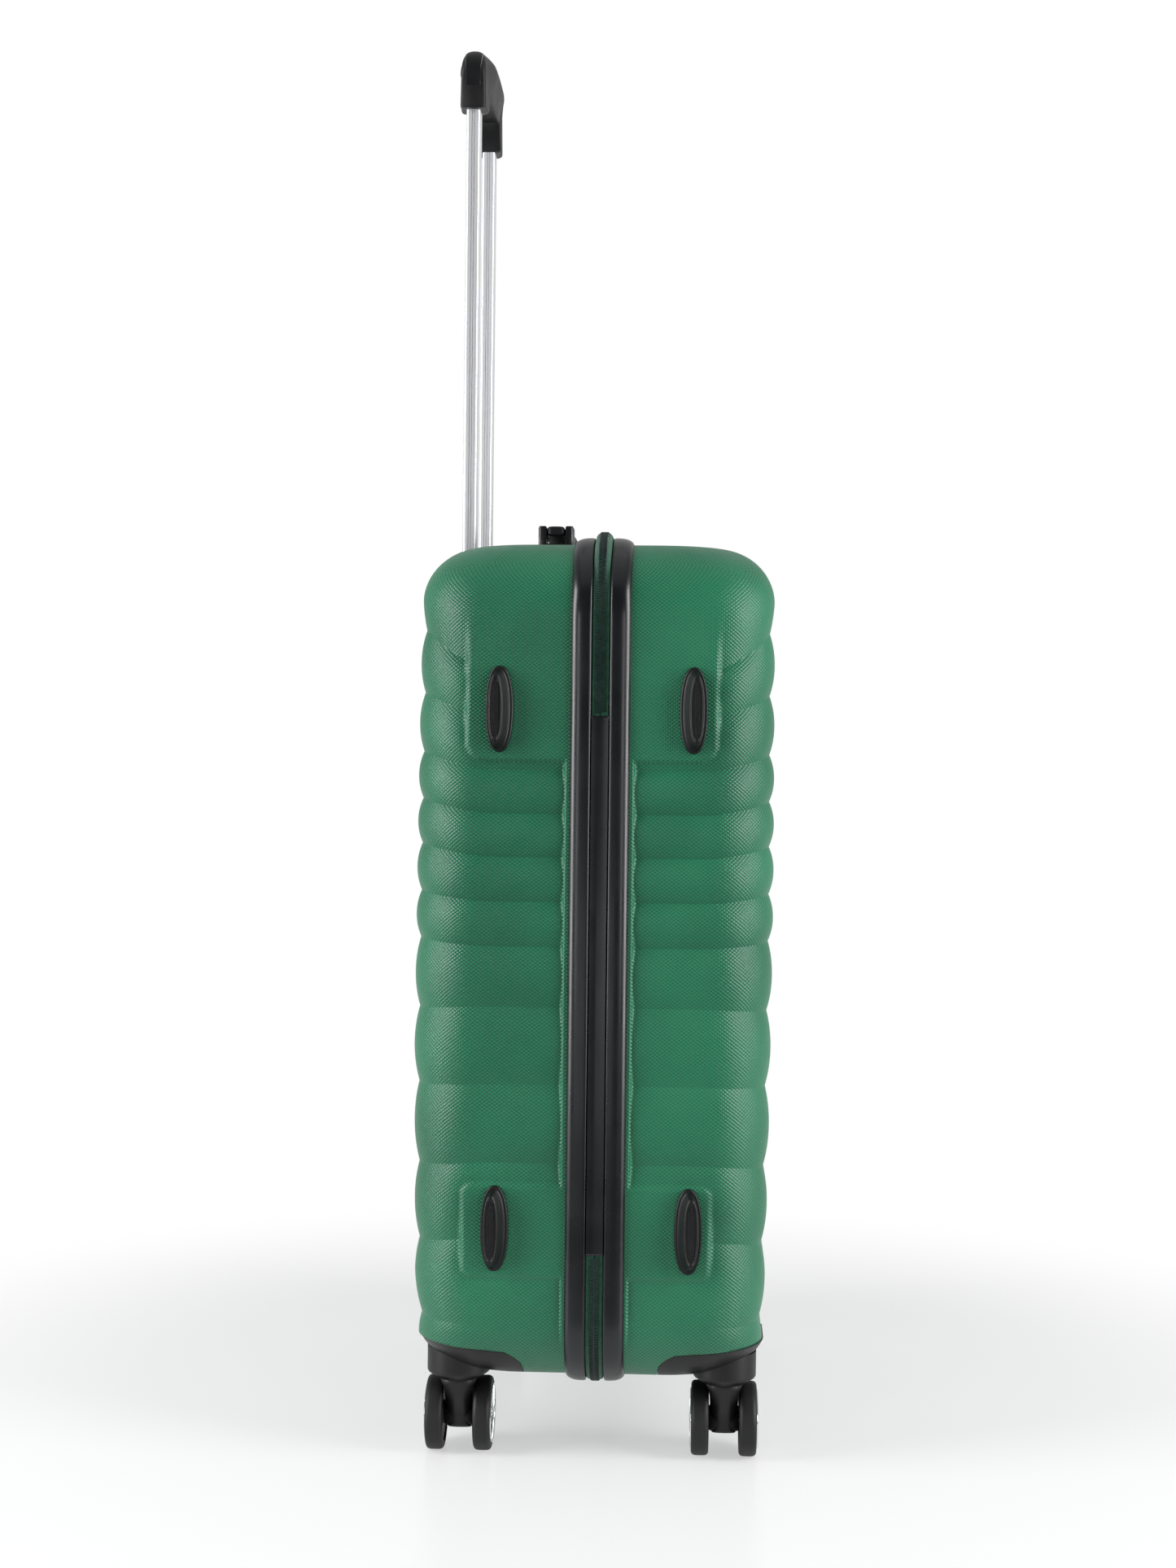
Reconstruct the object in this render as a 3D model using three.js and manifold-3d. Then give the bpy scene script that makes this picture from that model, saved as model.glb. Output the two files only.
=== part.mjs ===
// Hard shell suitcase on four double wheels, standing on the floor with its pull handle out.
// Millimetres, +Z up. X is the width (hinge side at -X), Y the thickness (front shell at -Y,
// back shell with the pull handle at +Y). The seam between the shells is the plane Y = 0.
import * as THREE from 'three';
import { mergeVertices } from 'three/addons/utils/BufferGeometryUtils.js';
import Module from 'manifold-3d';

const GAP = 0.3;                 // between pieces that touch or sit in a cut

// Shells
const HALF_W = 215;              // side walls
const Z_LOW = 62, Z_TOP = 667;
const DEPTH = { back: 132, front: 125 };
const CORNER_R = 58;             // seen from the front
const EDGE_R = 44;               // between the big face and the walls
const WALL = 2.4;
const SEAM = 6.5;                // each shell's mouth stands this far from the seam
const FLANGE = 23;               // the wall is plain from the mouth out to here
const RIB_DEPTH = 3.3;
const CORNER_STEPS = [0, 13.77, 20, 40, 60, 75, 90];   // degrees; the second meets the lowest groove
// Heights of the grooves between ribs: [on the side wall or null, on the big face]
const GROOVES = [
  [null, 106.2], [null, 161.2], [223.5, 216.7], [278.2, 275.1], [334.0, 329.9], [376.9, 380.4],
  [408.8, 414.3], [440.6, 448.7], [471.6, 481.3], [502.6, 515.1], [null, 557.7], [null, 602.7],
];

// Rims, hinge strip and zipper
const RIM_PROUD = 5, RIM_OUTER_Y = 21.2;
const STRIP = { low: 158.4, top: 541.5, halfY: 6.2, thick: 1.5 };
const ZIP = { inner: -0.9, outer: 4.3, middleY: 0.15, outerY: 6.2 };   // measured from the wall

// Feet on the hinge side
const FOOT = { long: 61.5, wide: 20, tall: 11, z: [176, 546], y: { back: 71.7, front: -66.3 } };

// Pull handle
const TUBE = { x: 68, y: 107.6, wide: 18, deep: 10.7, wall: 1.1, low: 473, top: 1020 };
const SLEEVE = { wide: 21.6, deep: 14, low: 104.3, top: 633.7 };
const GRIP = { halfX: 81, low: 1009, top: 1050, halfY: 9.8, archX: 50, arch: 1024 };
const BEZEL = { halfX: 88, y0: 92.5, y1: 122.5, floor: 638, under: 634, wall: 2.6 };

// Carry handles: local frame with x along the handle, z away from the wall
const CARRY = { halfLen: 112, halfWide: 12.6, plate: 2.6, cheekTop: 15.8, cheekX: 88, strap: 6.7 };
const TOP_HANDLE_Y = 39.1, SIDE_HANDLE = { y: 39.1, z: 345 };

// Lock and zipper sliders
const LOCK = { y: 35, z: 535, halfY: 11, halfZ: 35, face: 225, shaftX: 221.3, dials: [531, 540, 549] };
const SLIDERS = [['upper', 541, 555, 552], ['lower', 521, 535, 524]];  // name, low, top, pivot

// Wheels
const AXIS = { x: 168, y: { back: 100.5, front: -94 } };
const HOUSING = { x: 128, y: { back: 52, front: -45.5 }, top: 82 };
const BOSS = { r: 23, tip: 16.5, low: 57.2, chamfer: 62.3, top: 81, bore: 5.3 };
const TRAIL = 12;
const WHEEL = { r: 27, inner: 11, outer: 24, bore: 3.3, sides: 20, hub: 21.8, sunk: 1.7 };

const wasm = await Module();
wasm.setup();
const group = new THREE.Group();

const material = (color, roughness, metalness) =>
  new THREE.MeshStandardMaterial({ color, roughness, metalness });
const GREEN = material(0x2e6b4e, 0.45, 0), DARK_GREEN = material(0x1d5340, 0.8, 0);
const GLOSS = material(0x131417, 0.18, 0), SATIN = material(0x1b1c1f, 0.5, 0);
const RUBBER = material(0x17181a, 0.75, 0), CHROME = material(0xc9cbce, 0.15, 1);
const ALUMINIUM = material(0xb4b7ba, 0.3, 1), CLOTH = material(0x2a2c30, 0.95, 0);

function add(name, geometry, mat) {
  const mesh = new THREE.Mesh(geometry, mat);
  mesh.name = name;
  group.add(mesh);
}

// ---- solids from rings of points ----

function signedVolume(points, faces) {
  let sum = 0;
  for (const [a, b, c] of faces) {
    const [p, q, r] = [points[a], points[b], points[c]];
    sum += p[0] * (q[1] * r[2] - q[2] * r[1]) - p[1] * (q[0] * r[2] - q[2] * r[0])
      + p[2] * (q[0] * r[1] - q[1] * r[0]);
  }
  return sum / 6;
}

function fromFaces(points, faces) {
  const out = signedVolume(points, faces) > 0 ? faces : faces.map(([a, b, c]) => [a, c, b]);
  const geometry = new THREE.BufferGeometry();
  geometry.setAttribute('position', new THREE.Float32BufferAttribute(points.flat(), 3));
  geometry.setIndex(out.flat());
  return geometry;
}

// Skin over a row of rings with equal point counts. An open row gets convex end caps.
function loft(rings, closed = false) {
  const n = rings[0].length, faces = [];
  const last = closed ? rings.length : rings.length - 1;
  for (let i = 0; i < last; i++) {
    const a = i * n, b = ((i + 1) % rings.length) * n;
    for (let j = 0; j < n; j++) {
      const k = (j + 1) % n;
      faces.push([a + j, a + k, b + k], [a + j, b + k, b + j]);
    }
  }
  if (!closed) {
    const end = (rings.length - 1) * n;
    for (let j = 1; j < n - 1; j++) faces.push([0, j + 1, j], [end, end + j, end + j + 1]);
  }
  return fromFaces(rings.flat(), faces);
}

// Solid of revolution about the line through `centre` along Y or Z. profile: [radius, along]
function turned(profile, sides, centre, axis = 'z', phase = 0) {
  const rings = [];
  for (let i = 0; i < sides; i++) {
    const a = phase + (2 * Math.PI * i) / sides, c = Math.cos(a), s = Math.sin(a);
    rings.push(profile.map(([r, h]) => (axis === 'z'
      ? [centre[0] + r * c, centre[1] + r * s, centre[2] + h]
      : [centre[0] + r * c, centre[1] + h, centre[2] + r * s])));
  }
  return loft(rings, true);
}

// Cylinder or cone stack without a bore. profile: [radius, along], from one end to the other
function rod(profile, sides, centre, axis = 'z', phase = 0) {
  return loft(profile.map(([r, h]) => Array.from({ length: sides }, (_, i) => {
    const a = phase + (2 * Math.PI * i) / sides, c = r * Math.cos(a), s = r * Math.sin(a);
    return axis === 'z' ? [centre[0] + c, centre[1] + s, centre[2] + h]
      : [centre[0] + c, centre[1] + h, centre[2] + s];
  })));
}

// Straight prism over a convex outline of [u, v] points; place(u, v, w) puts each point in space.
const prism = (outline, w0, w1, place) =>
  loft([w0, w1].map((w) => outline.map(([u, v]) => place(u, v, w))));

function box(x0, x1, y0, y1, z0, z1) {
  return prism([[x0, y0], [x1, y0], [x1, y1], [x0, y1]], z0, z1, (x, y, z) => [x, y, z]);
}

// Rounded rectangle outline centred on (cu, cv)
function rounded(cu, cv, halfU, halfV, r, steps) {
  const out = [];
  for (let q = 0; q < 4; q++) {
    const su = q === 0 || q === 3 ? 1 : -1, sv = q < 2 ? 1 : -1;
    for (let i = 0; i <= steps; i++) {
      const a = (q + i / steps) * Math.PI / 2;
      out.push([cu + su * (halfU - r) + r * Math.cos(a), cv + sv * (halfV - r) + r * Math.sin(a)]);
    }
  }
  return out;
}

// ---- booleans ----

function toManifold(geometry) {
  const g = geometry.clone();
  g.deleteAttribute('normal');
  g.deleteAttribute('uv');
  const m = mergeVertices(g, 1e-4);
  return new wasm.Manifold(new wasm.Mesh({
    numProp: 3,
    vertProperties: new Float32Array(m.attributes.position.array),
    triVerts: new Uint32Array(m.index.array),
  }));
}

function fromManifold(solid) {
  const mesh = solid.getMesh();
  const geometry = new THREE.BufferGeometry();
  geometry.setAttribute('position', new THREE.BufferAttribute(mesh.vertProperties, 3));
  geometry.setIndex(new THREE.BufferAttribute(mesh.triVerts, 1));
  return geometry;
}

const cut = (base, ...tools) =>
  fromManifold(tools.reduce((m, t) => m.subtract(toManifold(t)), toManifold(base)));
const join = (...parts) =>
  fromManifold(parts.slice(1).reduce((m, t) => m.add(toManifold(t)), toManifold(parts[0])));
const common = (a, b) => fromManifold(toManifold(a).intersect(toManifold(b)));

// ---- the shells' rounded, ribbed form ----

// Heights of the rings, as { side, face, side wall groove 0..1, face groove 0..1 }
function levels(inset, ribs, low, top) {
  const corner = (z, end) => CORNER_STEPS.map((deg) =>
    z + end * (CORNER_R - inset) * Math.sin(THREE.MathUtils.degToRad(deg)));
  const plain = (z) => ({ side: z, face: z, wallRib: 0, faceRib: 0 });
  const lowCentre = low + CORNER_R - inset, topCentre = top - CORNER_R + inset;
  const out = [...corner(lowCentre, -1), ...corner(topCentre, 1)].map(plain);
  if (ribs) {
    GROOVES.forEach(([side, face], i) => {
      const wallRib = side === null ? 0 : 1;
      out.push({ side: side ?? face, face, wallRib, faceRib: 1 });
      const next = GROOVES[i + 1];
      if (!next) return;
      for (const t of ribs === 'fine' ? [0.22, 0.78] : [0.5]) {
        const mix = (a, b) => a + (b - a) * t;
        out.push({ ...plain(0), side: mix(side ?? face, next[0] ?? next[1]), face: mix(face, next[1]) });
      }
    });
    out.push(plain(GROOVES.at(-1)[1] + 4), plain(GROOVES[0][1] - 4));
  }
  // rings closer than a few millimetres give way to the grooves
  const kept = [];
  for (const level of out.sort((a, b) => a.face - b.face || b.faceRib - a.faceRib)) {
    const near = kept.at(-1);
    const ends = level.face <= lowCentre - (CORNER_R - inset) * 0.9
      || level.face >= topCentre + (CORNER_R - inset) * 0.9;
    if (near && !ends && level.face - near.face < 2.5) {
      if (level.faceRib > near.faceRib) kept[kept.length - 1] = level;
      continue;
    }
    kept.push(level);
  }
  return kept;
}

// Solid filled form of one shell, `inset` inside its outer surface, from y = mouth to the big face
function shellForm(which, inset, mouth, ribs = null, low = Z_LOW + inset, top = Z_TOP - inset,
  depth = DEPTH[which] - inset, edge = EDGE_R - inset) {
  const sign = which === 'back' ? 1 : -1;
  const halfW = HALF_W - inset, cornerR = CORNER_R - inset, arcSteps = 3;
  const shrink = (z, r) => {
    const past = Math.max(0, z - (top - r), low + r - z);
    return r - Math.sqrt(Math.max(0, r * r - past * past));
  };
  const rings = levels(inset, ribs, low, top).map((level) => {
    const half = [];
    const put = (x, y, nx, ny, weight) => {
      const rib = RIB_DEPTH * (level.wallRib * (1 - weight) + level.faceRib * weight);
      const z = level.side + (level.face - level.side) * weight;
      half.push([x - nx * rib, y - ny * rib, z]);
    };
    const w = halfW - shrink(level.face, cornerR), d = depth - shrink(level.face, edge);
    half.push([w, mouth, level.side], [w, FLANGE - 1, level.side]);
    put(w, FLANGE + 2, 1, 0, 0);
    for (let i = 0; i <= arcSteps; i++) {
      const a = (i / arcSteps) * Math.PI / 2;
      put(w - edge + edge * Math.cos(a), d - edge + edge * Math.sin(a),
        Math.cos(a), Math.sin(a), Math.sin(a));
    }
    const mirrored = half.map(([x, y, z]) => [-x, y, z]).reverse();
    return [...half, ...mirrored].map(([x, y, z]) => [x, sign * y, z]);
  });
  return loft(rings);
}

// Part of the lower corner that the wheel housing fills, grown by `grow`
function cornerBlock(which, sideX, grow) {
  const sign = which === 'back' ? 1 : -1;
  const y = HOUSING.y[which] - sign * grow, top = HOUSING.top + grow;
  const outline = [[0, 30], [0, 66], [1.5, 72], [6, 78], [13, top], [110, top], [110, 30]];
  return prism(outline, HOUSING.x - grow, HALF_W + 20,
    (u, z, x) => [sideX * x, y + sign * u, z]);
}

const bezelOutline = (grow) => rounded(0, (BEZEL.y0 + BEZEL.y1) / 2, BEZEL.halfX + grow,
  (BEZEL.y1 - BEZEL.y0) / 2 + grow, 5 + grow, 2);
const upright = (outline, z0, z1) => prism(outline, z0, z1, (x, y, z) => [x, y, z]);

for (const which of ['back', 'front']) {
  const outer = shellForm(which, 0, SEAM, 'fine');
  const inner = shellForm(which, WALL, SEAM - 2, 'coarse');
  const tools = [inner, cornerBlock(which, 1, GAP), cornerBlock(which, -1, GAP)];
  if (which === 'back') tools.push(upright(bezelOutline(GAP), BEZEL.under - 10, Z_TOP + 10));
  add(`${which}_shell`, cut(outer, ...tools), GREEN);
}

// ---- rims, zipper halves and hinge strip run along the mouth ----

// Points [x, z, nx, nz] along the mouth's outline
function mouthPath() {
  const path = [];
  const cz = (Z_LOW + Z_TOP) / 2, halfZ = (Z_TOP - Z_LOW) / 2;
  for (const [sx, sz] of [[1, 1], [-1, 1], [-1, -1], [1, -1]]) {
    const steps = sx === sz ? CORNER_STEPS : CORNER_STEPS.toReversed();
    for (const deg of steps) {
      const a = THREE.MathUtils.degToRad(deg), c = sx * Math.cos(a), s = sz * Math.sin(a);
      path.push([sx * (HALF_W - CORNER_R) + CORNER_R * c, cz + sz * (halfZ - CORNER_R) + CORNER_R * s,
        c, s]);
    }
  }
  return path;
}

// Sweeps a profile of [out from the wall, y] along path points [x, z, nx, nz]
const alongMouth = (path, profile, closed) =>
  loft(path.map(([x, z, nx, nz]) => profile.map(([o, y]) => [x + nx * o, y, z + nz * o])), closed);

for (const [which, sign] of [['back', 1], ['front', -1]]) {
  const rim = [[GAP, SEAM], [RIM_PROUD - 1.2, SEAM], [RIM_PROUD, SEAM + 1.2],
    [RIM_PROUD, RIM_OUTER_Y - 1.6], [RIM_PROUD - 1.6, RIM_OUTER_Y], [GAP, RIM_OUTER_Y]];
  add(`${which}_rim`, alongMouth(mouthPath(), rim.map(([o, y]) => [o, sign * y]), true), GLOSS);

  const { inner, outer, middleY, outerY } = ZIP;
  const tape = [[inner, middleY], [outer, middleY], [outer, outerY], [inner, outerY]];
  const around = mouthPath();
  const turn = around.findIndex(([x, z]) => x < 0 && z < Z_TOP - CORNER_R - 100);
  const open = [[-HALF_W, STRIP.low - GAP, -1, 0], ...around.slice(turn), ...around.slice(0, turn),
    [-HALF_W, STRIP.top + GAP, -1, 0]];
  add(`${which}_zipper_half`,
    alongMouth(open, tape.map(([o, y]) => [o, sign * y]), false), DARK_GREEN);
}

const stripX = -HALF_W - RIM_PROUD;
add('hinge_strip', box(stripX, stripX + STRIP.thick, -STRIP.halfY, STRIP.halfY, STRIP.low, STRIP.top),
  GLOSS);

// ---- feet on the hinge side ----

for (const which of ['back', 'front']) {
  FOOT.z.forEach((z, i) => {
    const y = FOOT.y[which];
    const ring = (x, halfZ, halfY) =>
      rounded(y, z, halfY, halfZ, halfY * 0.98, 4).map(([v, w]) => [-x, v, w]);
    const base = HALF_W + GAP, top = HALF_W + FOOT.tall;
    add(`side_foot_${which}_${i ? 'upper' : 'lower'}`, loft([
      ring(base, FOOT.long / 2, FOOT.wide / 2), ring(base + 3, FOOT.long / 2, FOOT.wide / 2),
      ring(base + 4, FOOT.long / 2 - 3, FOOT.wide / 2 - 2),
      ring(top, FOOT.long / 2 - 8, FOOT.wide / 2 - 5)]), GLOSS);
  });
}

// ---- linings and packing straps ----

const LINING_INSET = WALL + RIB_DEPTH + 0.5, LINING_LOW = HOUSING.top + 2.5, LINING_THICK = 1;
const LINING_BACK_Y = 91;
for (const which of ['back', 'front']) {
  const depth = which === 'back' ? LINING_BACK_Y : DEPTH.front - LINING_INSET;
  const edge = which === 'back' ? 16 : EDGE_R - LINING_INSET;
  const form = (t, mouth) => shellForm(which, LINING_INSET + t, mouth, null, LINING_LOW + t,
    Z_TOP - LINING_INSET - t, depth - t, edge - t);
  add(`${which}_lining`, cut(form(0, SEAM + 1.5), form(LINING_THICK, SEAM - 2)), CLOTH);
}

const strapY = [LINING_BACK_Y - LINING_THICK - GAP - 1.2, LINING_BACK_Y - LINING_THICK - GAP];
const strapBar = (lean) => prism([[-165, -12], [165, -12], [165, 12], [-165, 12]], ...strapY,
  (u, v, y) => [u * Math.cos(lean) - v * Math.sin(lean), y,
    365 + u * Math.sin(lean) + v * Math.cos(lean)]);
add('cross_straps', join(strapBar(0.85), strapBar(-0.85)), CLOTH);
add('strap_buckle', prism(rounded(0, 365, 24, 17, 4, 2), strapY[0] - GAP - 7, strapY[0] - GAP,
  (x, z, y) => [x, y, z]), SATIN);

// ---- pull handle ----

const tubeOutline = (x, wide, deep, r) => rounded(x, TUBE.y, wide / 2, deep / 2, r, 2);
for (const [side, sx] of [['left', -1], ['right', 1]]) {
  const x = sx * TUBE.x;
  const hollow = (wide, deep, wall, r, z0, z1) => cut(
    upright(tubeOutline(x, wide, deep, r), z0, z1),
    upright(tubeOutline(x, wide - 2 * wall, deep - 2 * wall, Math.max(r - wall, 0.6)), z0 - 5, z1 + 5));
  add(`trolley_tube_${side}`,
    hollow(TUBE.wide, TUBE.deep, TUBE.wall, 2.4, TUBE.low, TUBE.top), ALUMINIUM);
  add(`trolley_sleeve_${side}`,
    hollow(SLEEVE.wide, SLEEVE.deep, 1.3, 3.2, SLEEVE.low, SLEEVE.top), ALUMINIUM);
}
add('trolley_foot_bracket', box(-84, 84, TUBE.y - 7.5, TUBE.y + 7.5, 90, SLEEVE.low - GAP), SATIN);

const bezelBlock = common(upright(bezelOutline(0), BEZEL.under, Z_TOP + 5),
  shellForm('back', -1, SEAM));
const bezelHollow = rounded(0, (BEZEL.y0 + BEZEL.y1) / 2, BEZEL.halfX - BEZEL.wall,
  (BEZEL.y1 - BEZEL.y0) / 2 - BEZEL.wall, 3, 2);
const tubeHole = (sx) => upright(
  tubeOutline(sx * TUBE.x, TUBE.wide + 2 * GAP, TUBE.deep + 2 * GAP, 2.4), BEZEL.under - 5, Z_TOP);
add('trolley_bezel', cut(bezelBlock, upright(bezelHollow, BEZEL.floor, Z_TOP + 10),
  tubeHole(-1), tubeHole(1)), SATIN);

// Arched grip: legs at the ends over the tubes, a bar between them, and a push button on top
const BUTTON = { halfX: 22, halfY: 3.7, low: GRIP.top - 6, proud: 1 };
function gripBody() {
  const section = (x, low) => rounded(TUBE.y, (low + GRIP.top) / 2, GRIP.halfY,
    (GRIP.top - low) / 2, 5, 3).map(([y, z]) => [x, y, z]);
  const ends = (s) => {
    const near = section(s * GRIP.halfX, GRIP.low + 2);
    const cy = TUBE.y, cz = (GRIP.low + GRIP.top) / 2;
    return [near.map(([x, y, z]) => [x, cy + (y - cy) * 0.8, cz + (z - cz) * 0.86]),
      section(s * (GRIP.halfX - 3), GRIP.low)];
  };
  const right = [...ends(1), section(TUBE.x - 14, GRIP.low), section(GRIP.archX, GRIP.arch - 4),
    section(GRIP.archX - 8, GRIP.arch)];
  const left = [...ends(-1), section(14 - TUBE.x, GRIP.low), section(-GRIP.archX, GRIP.arch - 4),
    section(8 - GRIP.archX, GRIP.arch)];
  const pocket = box(-BUTTON.halfX - GAP, BUTTON.halfX + GAP, TUBE.y - BUTTON.halfY - GAP,
    TUBE.y + BUTTON.halfY + GAP, BUTTON.low - 5, GRIP.top + 5);
  const socket = (sx) => upright(
    tubeOutline(sx * TUBE.x, TUBE.wide + 2 * GAP, TUBE.deep + 2 * GAP, 2.4), GRIP.low - 5,
    TUBE.top + GAP);
  return cut(loft([...right, ...left.reverse()]), pocket, socket(-1), socket(1));
}
add('trolley_grip', gripBody(), SATIN);
add('trolley_button', upright(rounded(0, TUBE.y, BUTTON.halfX, BUTTON.halfY, 2, 2), BUTTON.low,
  GRIP.top + BUTTON.proud), GLOSS);

// ---- carry handles on the top and on the side away from the hinge ----

for (const [name, place] of [
  ['top', (u, v, w) => [u, TOP_HANDLE_Y + v, Z_TOP + w]],
  ['side', (u, v, w) => [HALF_W + w, SIDE_HANDLE.y + v, SIDE_HANDLE.z + u]],
]) {
  const { halfLen, halfWide, plate, cheekTop, cheekX, strap } = CARRY;
  const plateSolid = prism(rounded(0, 0, halfLen, halfWide, 5, 2), GAP, plate, place);
  const cheeks = [1, -1].flatMap((su) => [1, -1].map((sv) => prism(
    [[cheekX, strap + GAP], [halfLen - 2, strap + GAP], [halfLen - 2, halfWide - 1.6],
      [halfLen - 4, halfWide - 0.2], [cheekX, halfWide - 0.2]].map(([u, v]) => [su * u, sv * v]),
    plate - 1, cheekTop, place)));
  add(`${name}_handle_base`, join(plateSolid, ...cheeks), SATIN);
  const bar = [[halfLen - 3, -strap], [halfLen - 3, strap], [cheekX - 3, strap],
    [cheekX - 10, strap + 4.3], [10 - cheekX, strap + 4.3], [3 - cheekX, strap],
    [3 - halfLen, strap], [3 - halfLen, -strap], [3 - cheekX, -strap],
    [10 - cheekX, -strap - 4.3], [cheekX - 10, -strap - 4.3], [cheekX - 3, -strap]];
  const middle = bar.filter(([u]) => Math.abs(u) < cheekX);
  add(`${name}_handle_grip`, join(prism(middle, 9, 16.4, place),
    prism([bar[0], bar[1], bar[6], bar[7]], 9, 16.4, place)), RUBBER);
}

// ---- combination lock and zipper sliders on the side away from the hinge ----

const shaft = (r, z0, z1) => rod([[r, z0], [r, z1]], 10, [LOCK.shaftX, LOCK.y, 0], 'z', Math.PI / 10);
const lockBlock = prism(rounded(LOCK.y, LOCK.z, LOCK.halfY, LOCK.halfZ, 5, 2), HALF_W + GAP, LOCK.face,
  (y, z, x) => [x, y, z]);
const dialSlots = LOCK.dials.map((z) => box(HALF_W - 5, LOCK.face + 5, LOCK.y - 6.2, LOCK.y + 6.2,
  z - 2.7, z + 2.7));
const RELEASE = { z: 513, halfY: 6, halfZ: 7, floor: 217.5, low: 220.4, top: 226.6 };
const releasePocket = box(RELEASE.floor, LOCK.face + 5, LOCK.y - RELEASE.halfY - GAP,
  LOCK.y + RELEASE.halfY + GAP, RELEASE.z - RELEASE.halfZ - GAP, RELEASE.z + RELEASE.halfZ + GAP);
add('lock_body', join(cut(lockBlock, ...dialSlots, releasePocket),
  shaft(1.6, LOCK.dials[0] - 4, LOCK.dials[2] + 4)), SATIN);
LOCK.dials.forEach((z, i) => add(`lock_dial_${i + 1}`, turned(
  [[1.95, -2.3], [5.4, -2.3], [5.4, 2.3], [1.95, 2.3]], 10, [LOCK.shaftX, LOCK.y, z], 'z',
  Math.PI / 10), SATIN));
add('lock_release_button', prism(rounded(LOCK.y, RELEASE.z, RELEASE.halfY, RELEASE.halfZ, 2, 2),
  RELEASE.low, RELEASE.top, (y, z, x) => [x, y, z]), GLOSS);

const PULL = { x: 227.2, pin: 0.9, hole: 1.25, eye: 2.5, halfY: 3.4, tail: 24, thick: 0.8 };
for (const [name, low, top, pivot] of SLIDERS) {
  const body = prism([[-4, low], [4, low], [5.4, low + 3], [5.4, top - 3], [4, top], [-4, top],
    [-5.4, top - 3], [-5.4, low + 3]], HALF_W + ZIP.outer + GAP, 224, (y, z, x) => [x, y, z]);
  const ear = (s) => box(223, PULL.x + 1.6, s > 0 ? 3.8 : -5.2, s > 0 ? 5.2 : -3.8, pivot - 1.8,
    pivot + 1.8);
  const pin = rod([[PULL.pin, -4.5], [PULL.pin, 4.5]], 8, [PULL.x, 0, pivot], 'y', Math.PI / 8);
  add(`zipper_slider_${name}`, join(body, ear(1), ear(-1), pin), SATIN);
  const eye = rod([[PULL.eye, -PULL.halfY], [PULL.eye, PULL.halfY]], 10, [PULL.x, 0, pivot], 'y');
  const hole = rod([[PULL.hole, -9], [PULL.hole, 9]], 8, [PULL.x, 0, pivot], 'y', Math.PI / 8);
  const tail = prism([[-2.6, -1.6], [2.6, -1.6], [PULL.halfY, -8], [PULL.halfY, -PULL.tail + 2],
    [2, -PULL.tail], [-2, -PULL.tail], [-PULL.halfY, -PULL.tail + 2], [-PULL.halfY, -8]],
    PULL.x - PULL.thick, PULL.x + PULL.thick, (y, z, x) => [x, y, pivot + z]);
  add(`zipper_puller_${name}`, cut(join(eye, tail), hole), SATIN);
}

// ---- wheel housings, forks, wheels and hubcaps ----

for (const which of ['back', 'front']) {
  const skin = cut(shellForm(which, 0, SEAM), shellForm(which, 3, SEAM - 2));
  for (const [side, sx] of [['left', -1], ['right', 1]]) {
    const x = sx * AXIS.x, y = AXIS.y[which], at = `${which}_${side}`;
    const boss = turned([[BOSS.bore, BOSS.low], [BOSS.tip, BOSS.low], [BOSS.r, BOSS.chamfer],
      [BOSS.r, BOSS.top], [BOSS.r - 2.6, BOSS.top], [BOSS.r - 2.6, BOSS.chamfer + 2],
      [9, BOSS.chamfer + 2], [9, BOSS.top], [BOSS.bore, BOSS.top]], 20, [x, y, 0]);
    const clear = rod([[BOSS.r - 1.3, 40], [BOSS.r - 1.3, 120]], 20, [x, y, 0]);
    const corner = cut(common(skin, cornerBlock(which, sx, 0)), clear);
    add(`wheel_housing_${at}`, join(corner, boss), SATIN);

    // every fork trails towards +X; its trunk leans from the swivel axis to the axle
    const axleX = x + TRAIL;
    const trunk = loft([[54.8, 0, 13, 13], [56.7, 0, 13.2, 13.2]].map(([z, cx, hx, hy]) =>
      rounded(x + cx, y, hx, hy, hy * 0.95, 3).map(([u, v]) => [u, v, z])));
    const leg = loft([[17.6, 12, 4.5, 8.4], [21, 12, 8, 8.7], [30, 11, 9.8, 9.2], [42, 4, 11, 10.2],
      [55.2, 0.5, 12, 10.4]].map(([z, cx, hx, hy]) =>
      rounded(x + cx, y, hx, hy, Math.min(hx, hy) * 0.7, 2).map(([u, v]) => [u, v, z])));
    const stem = rod([[5, 56], [5, BOSS.top - 1]], 12, [x, y, 0]);
    const axle = rod([[3, -22], [3, 22]], 12, [axleX, y, WHEEL.r], 'y');
    add(`spinner_fork_${at}`, join(trunk, leg, stem, axle), SATIN);

    for (const [hand, sy] of [['a', -1], ['b', 1]]) {
      const tyreR = WHEEL.r / Math.cos(Math.PI / WHEEL.sides);
      const { inner, outer, bore, hub, sunk, sides } = WHEEL;
      const phase = -Math.PI / 2 + Math.PI / sides;
      add(`wheel_${at}_${hand}`, turned([[bore, inner], [tyreR - 2, inner], [tyreR, inner + 2],
        [tyreR, outer - 2], [tyreR - 2, outer], [hub, outer], [hub, outer - sunk],
        [bore, outer - sunk]].map(([r, h]) => [r, sy * h]), sides, [axleX, y, WHEEL.r], 'y', phase),
      RUBBER);
      add(`hubcap_${at}_${hand}`, rod([[hub - 0.6, outer - sunk + GAP], [hub - 0.6, outer - 0.2],
        [hub - 5, outer + 1.2]].map(([r, h]) => [r, sy * h]), 16, [axleX, y, WHEEL.r], 'y'), CHROME);
    }
  }
}

export default group;
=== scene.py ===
"""Hard shell suitcase on wheels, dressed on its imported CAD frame. Lengths are millimetres until mesh_from."""
import math

import bmesh
import bpy
import numpy as np
from mathutils import Matrix, Vector


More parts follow.
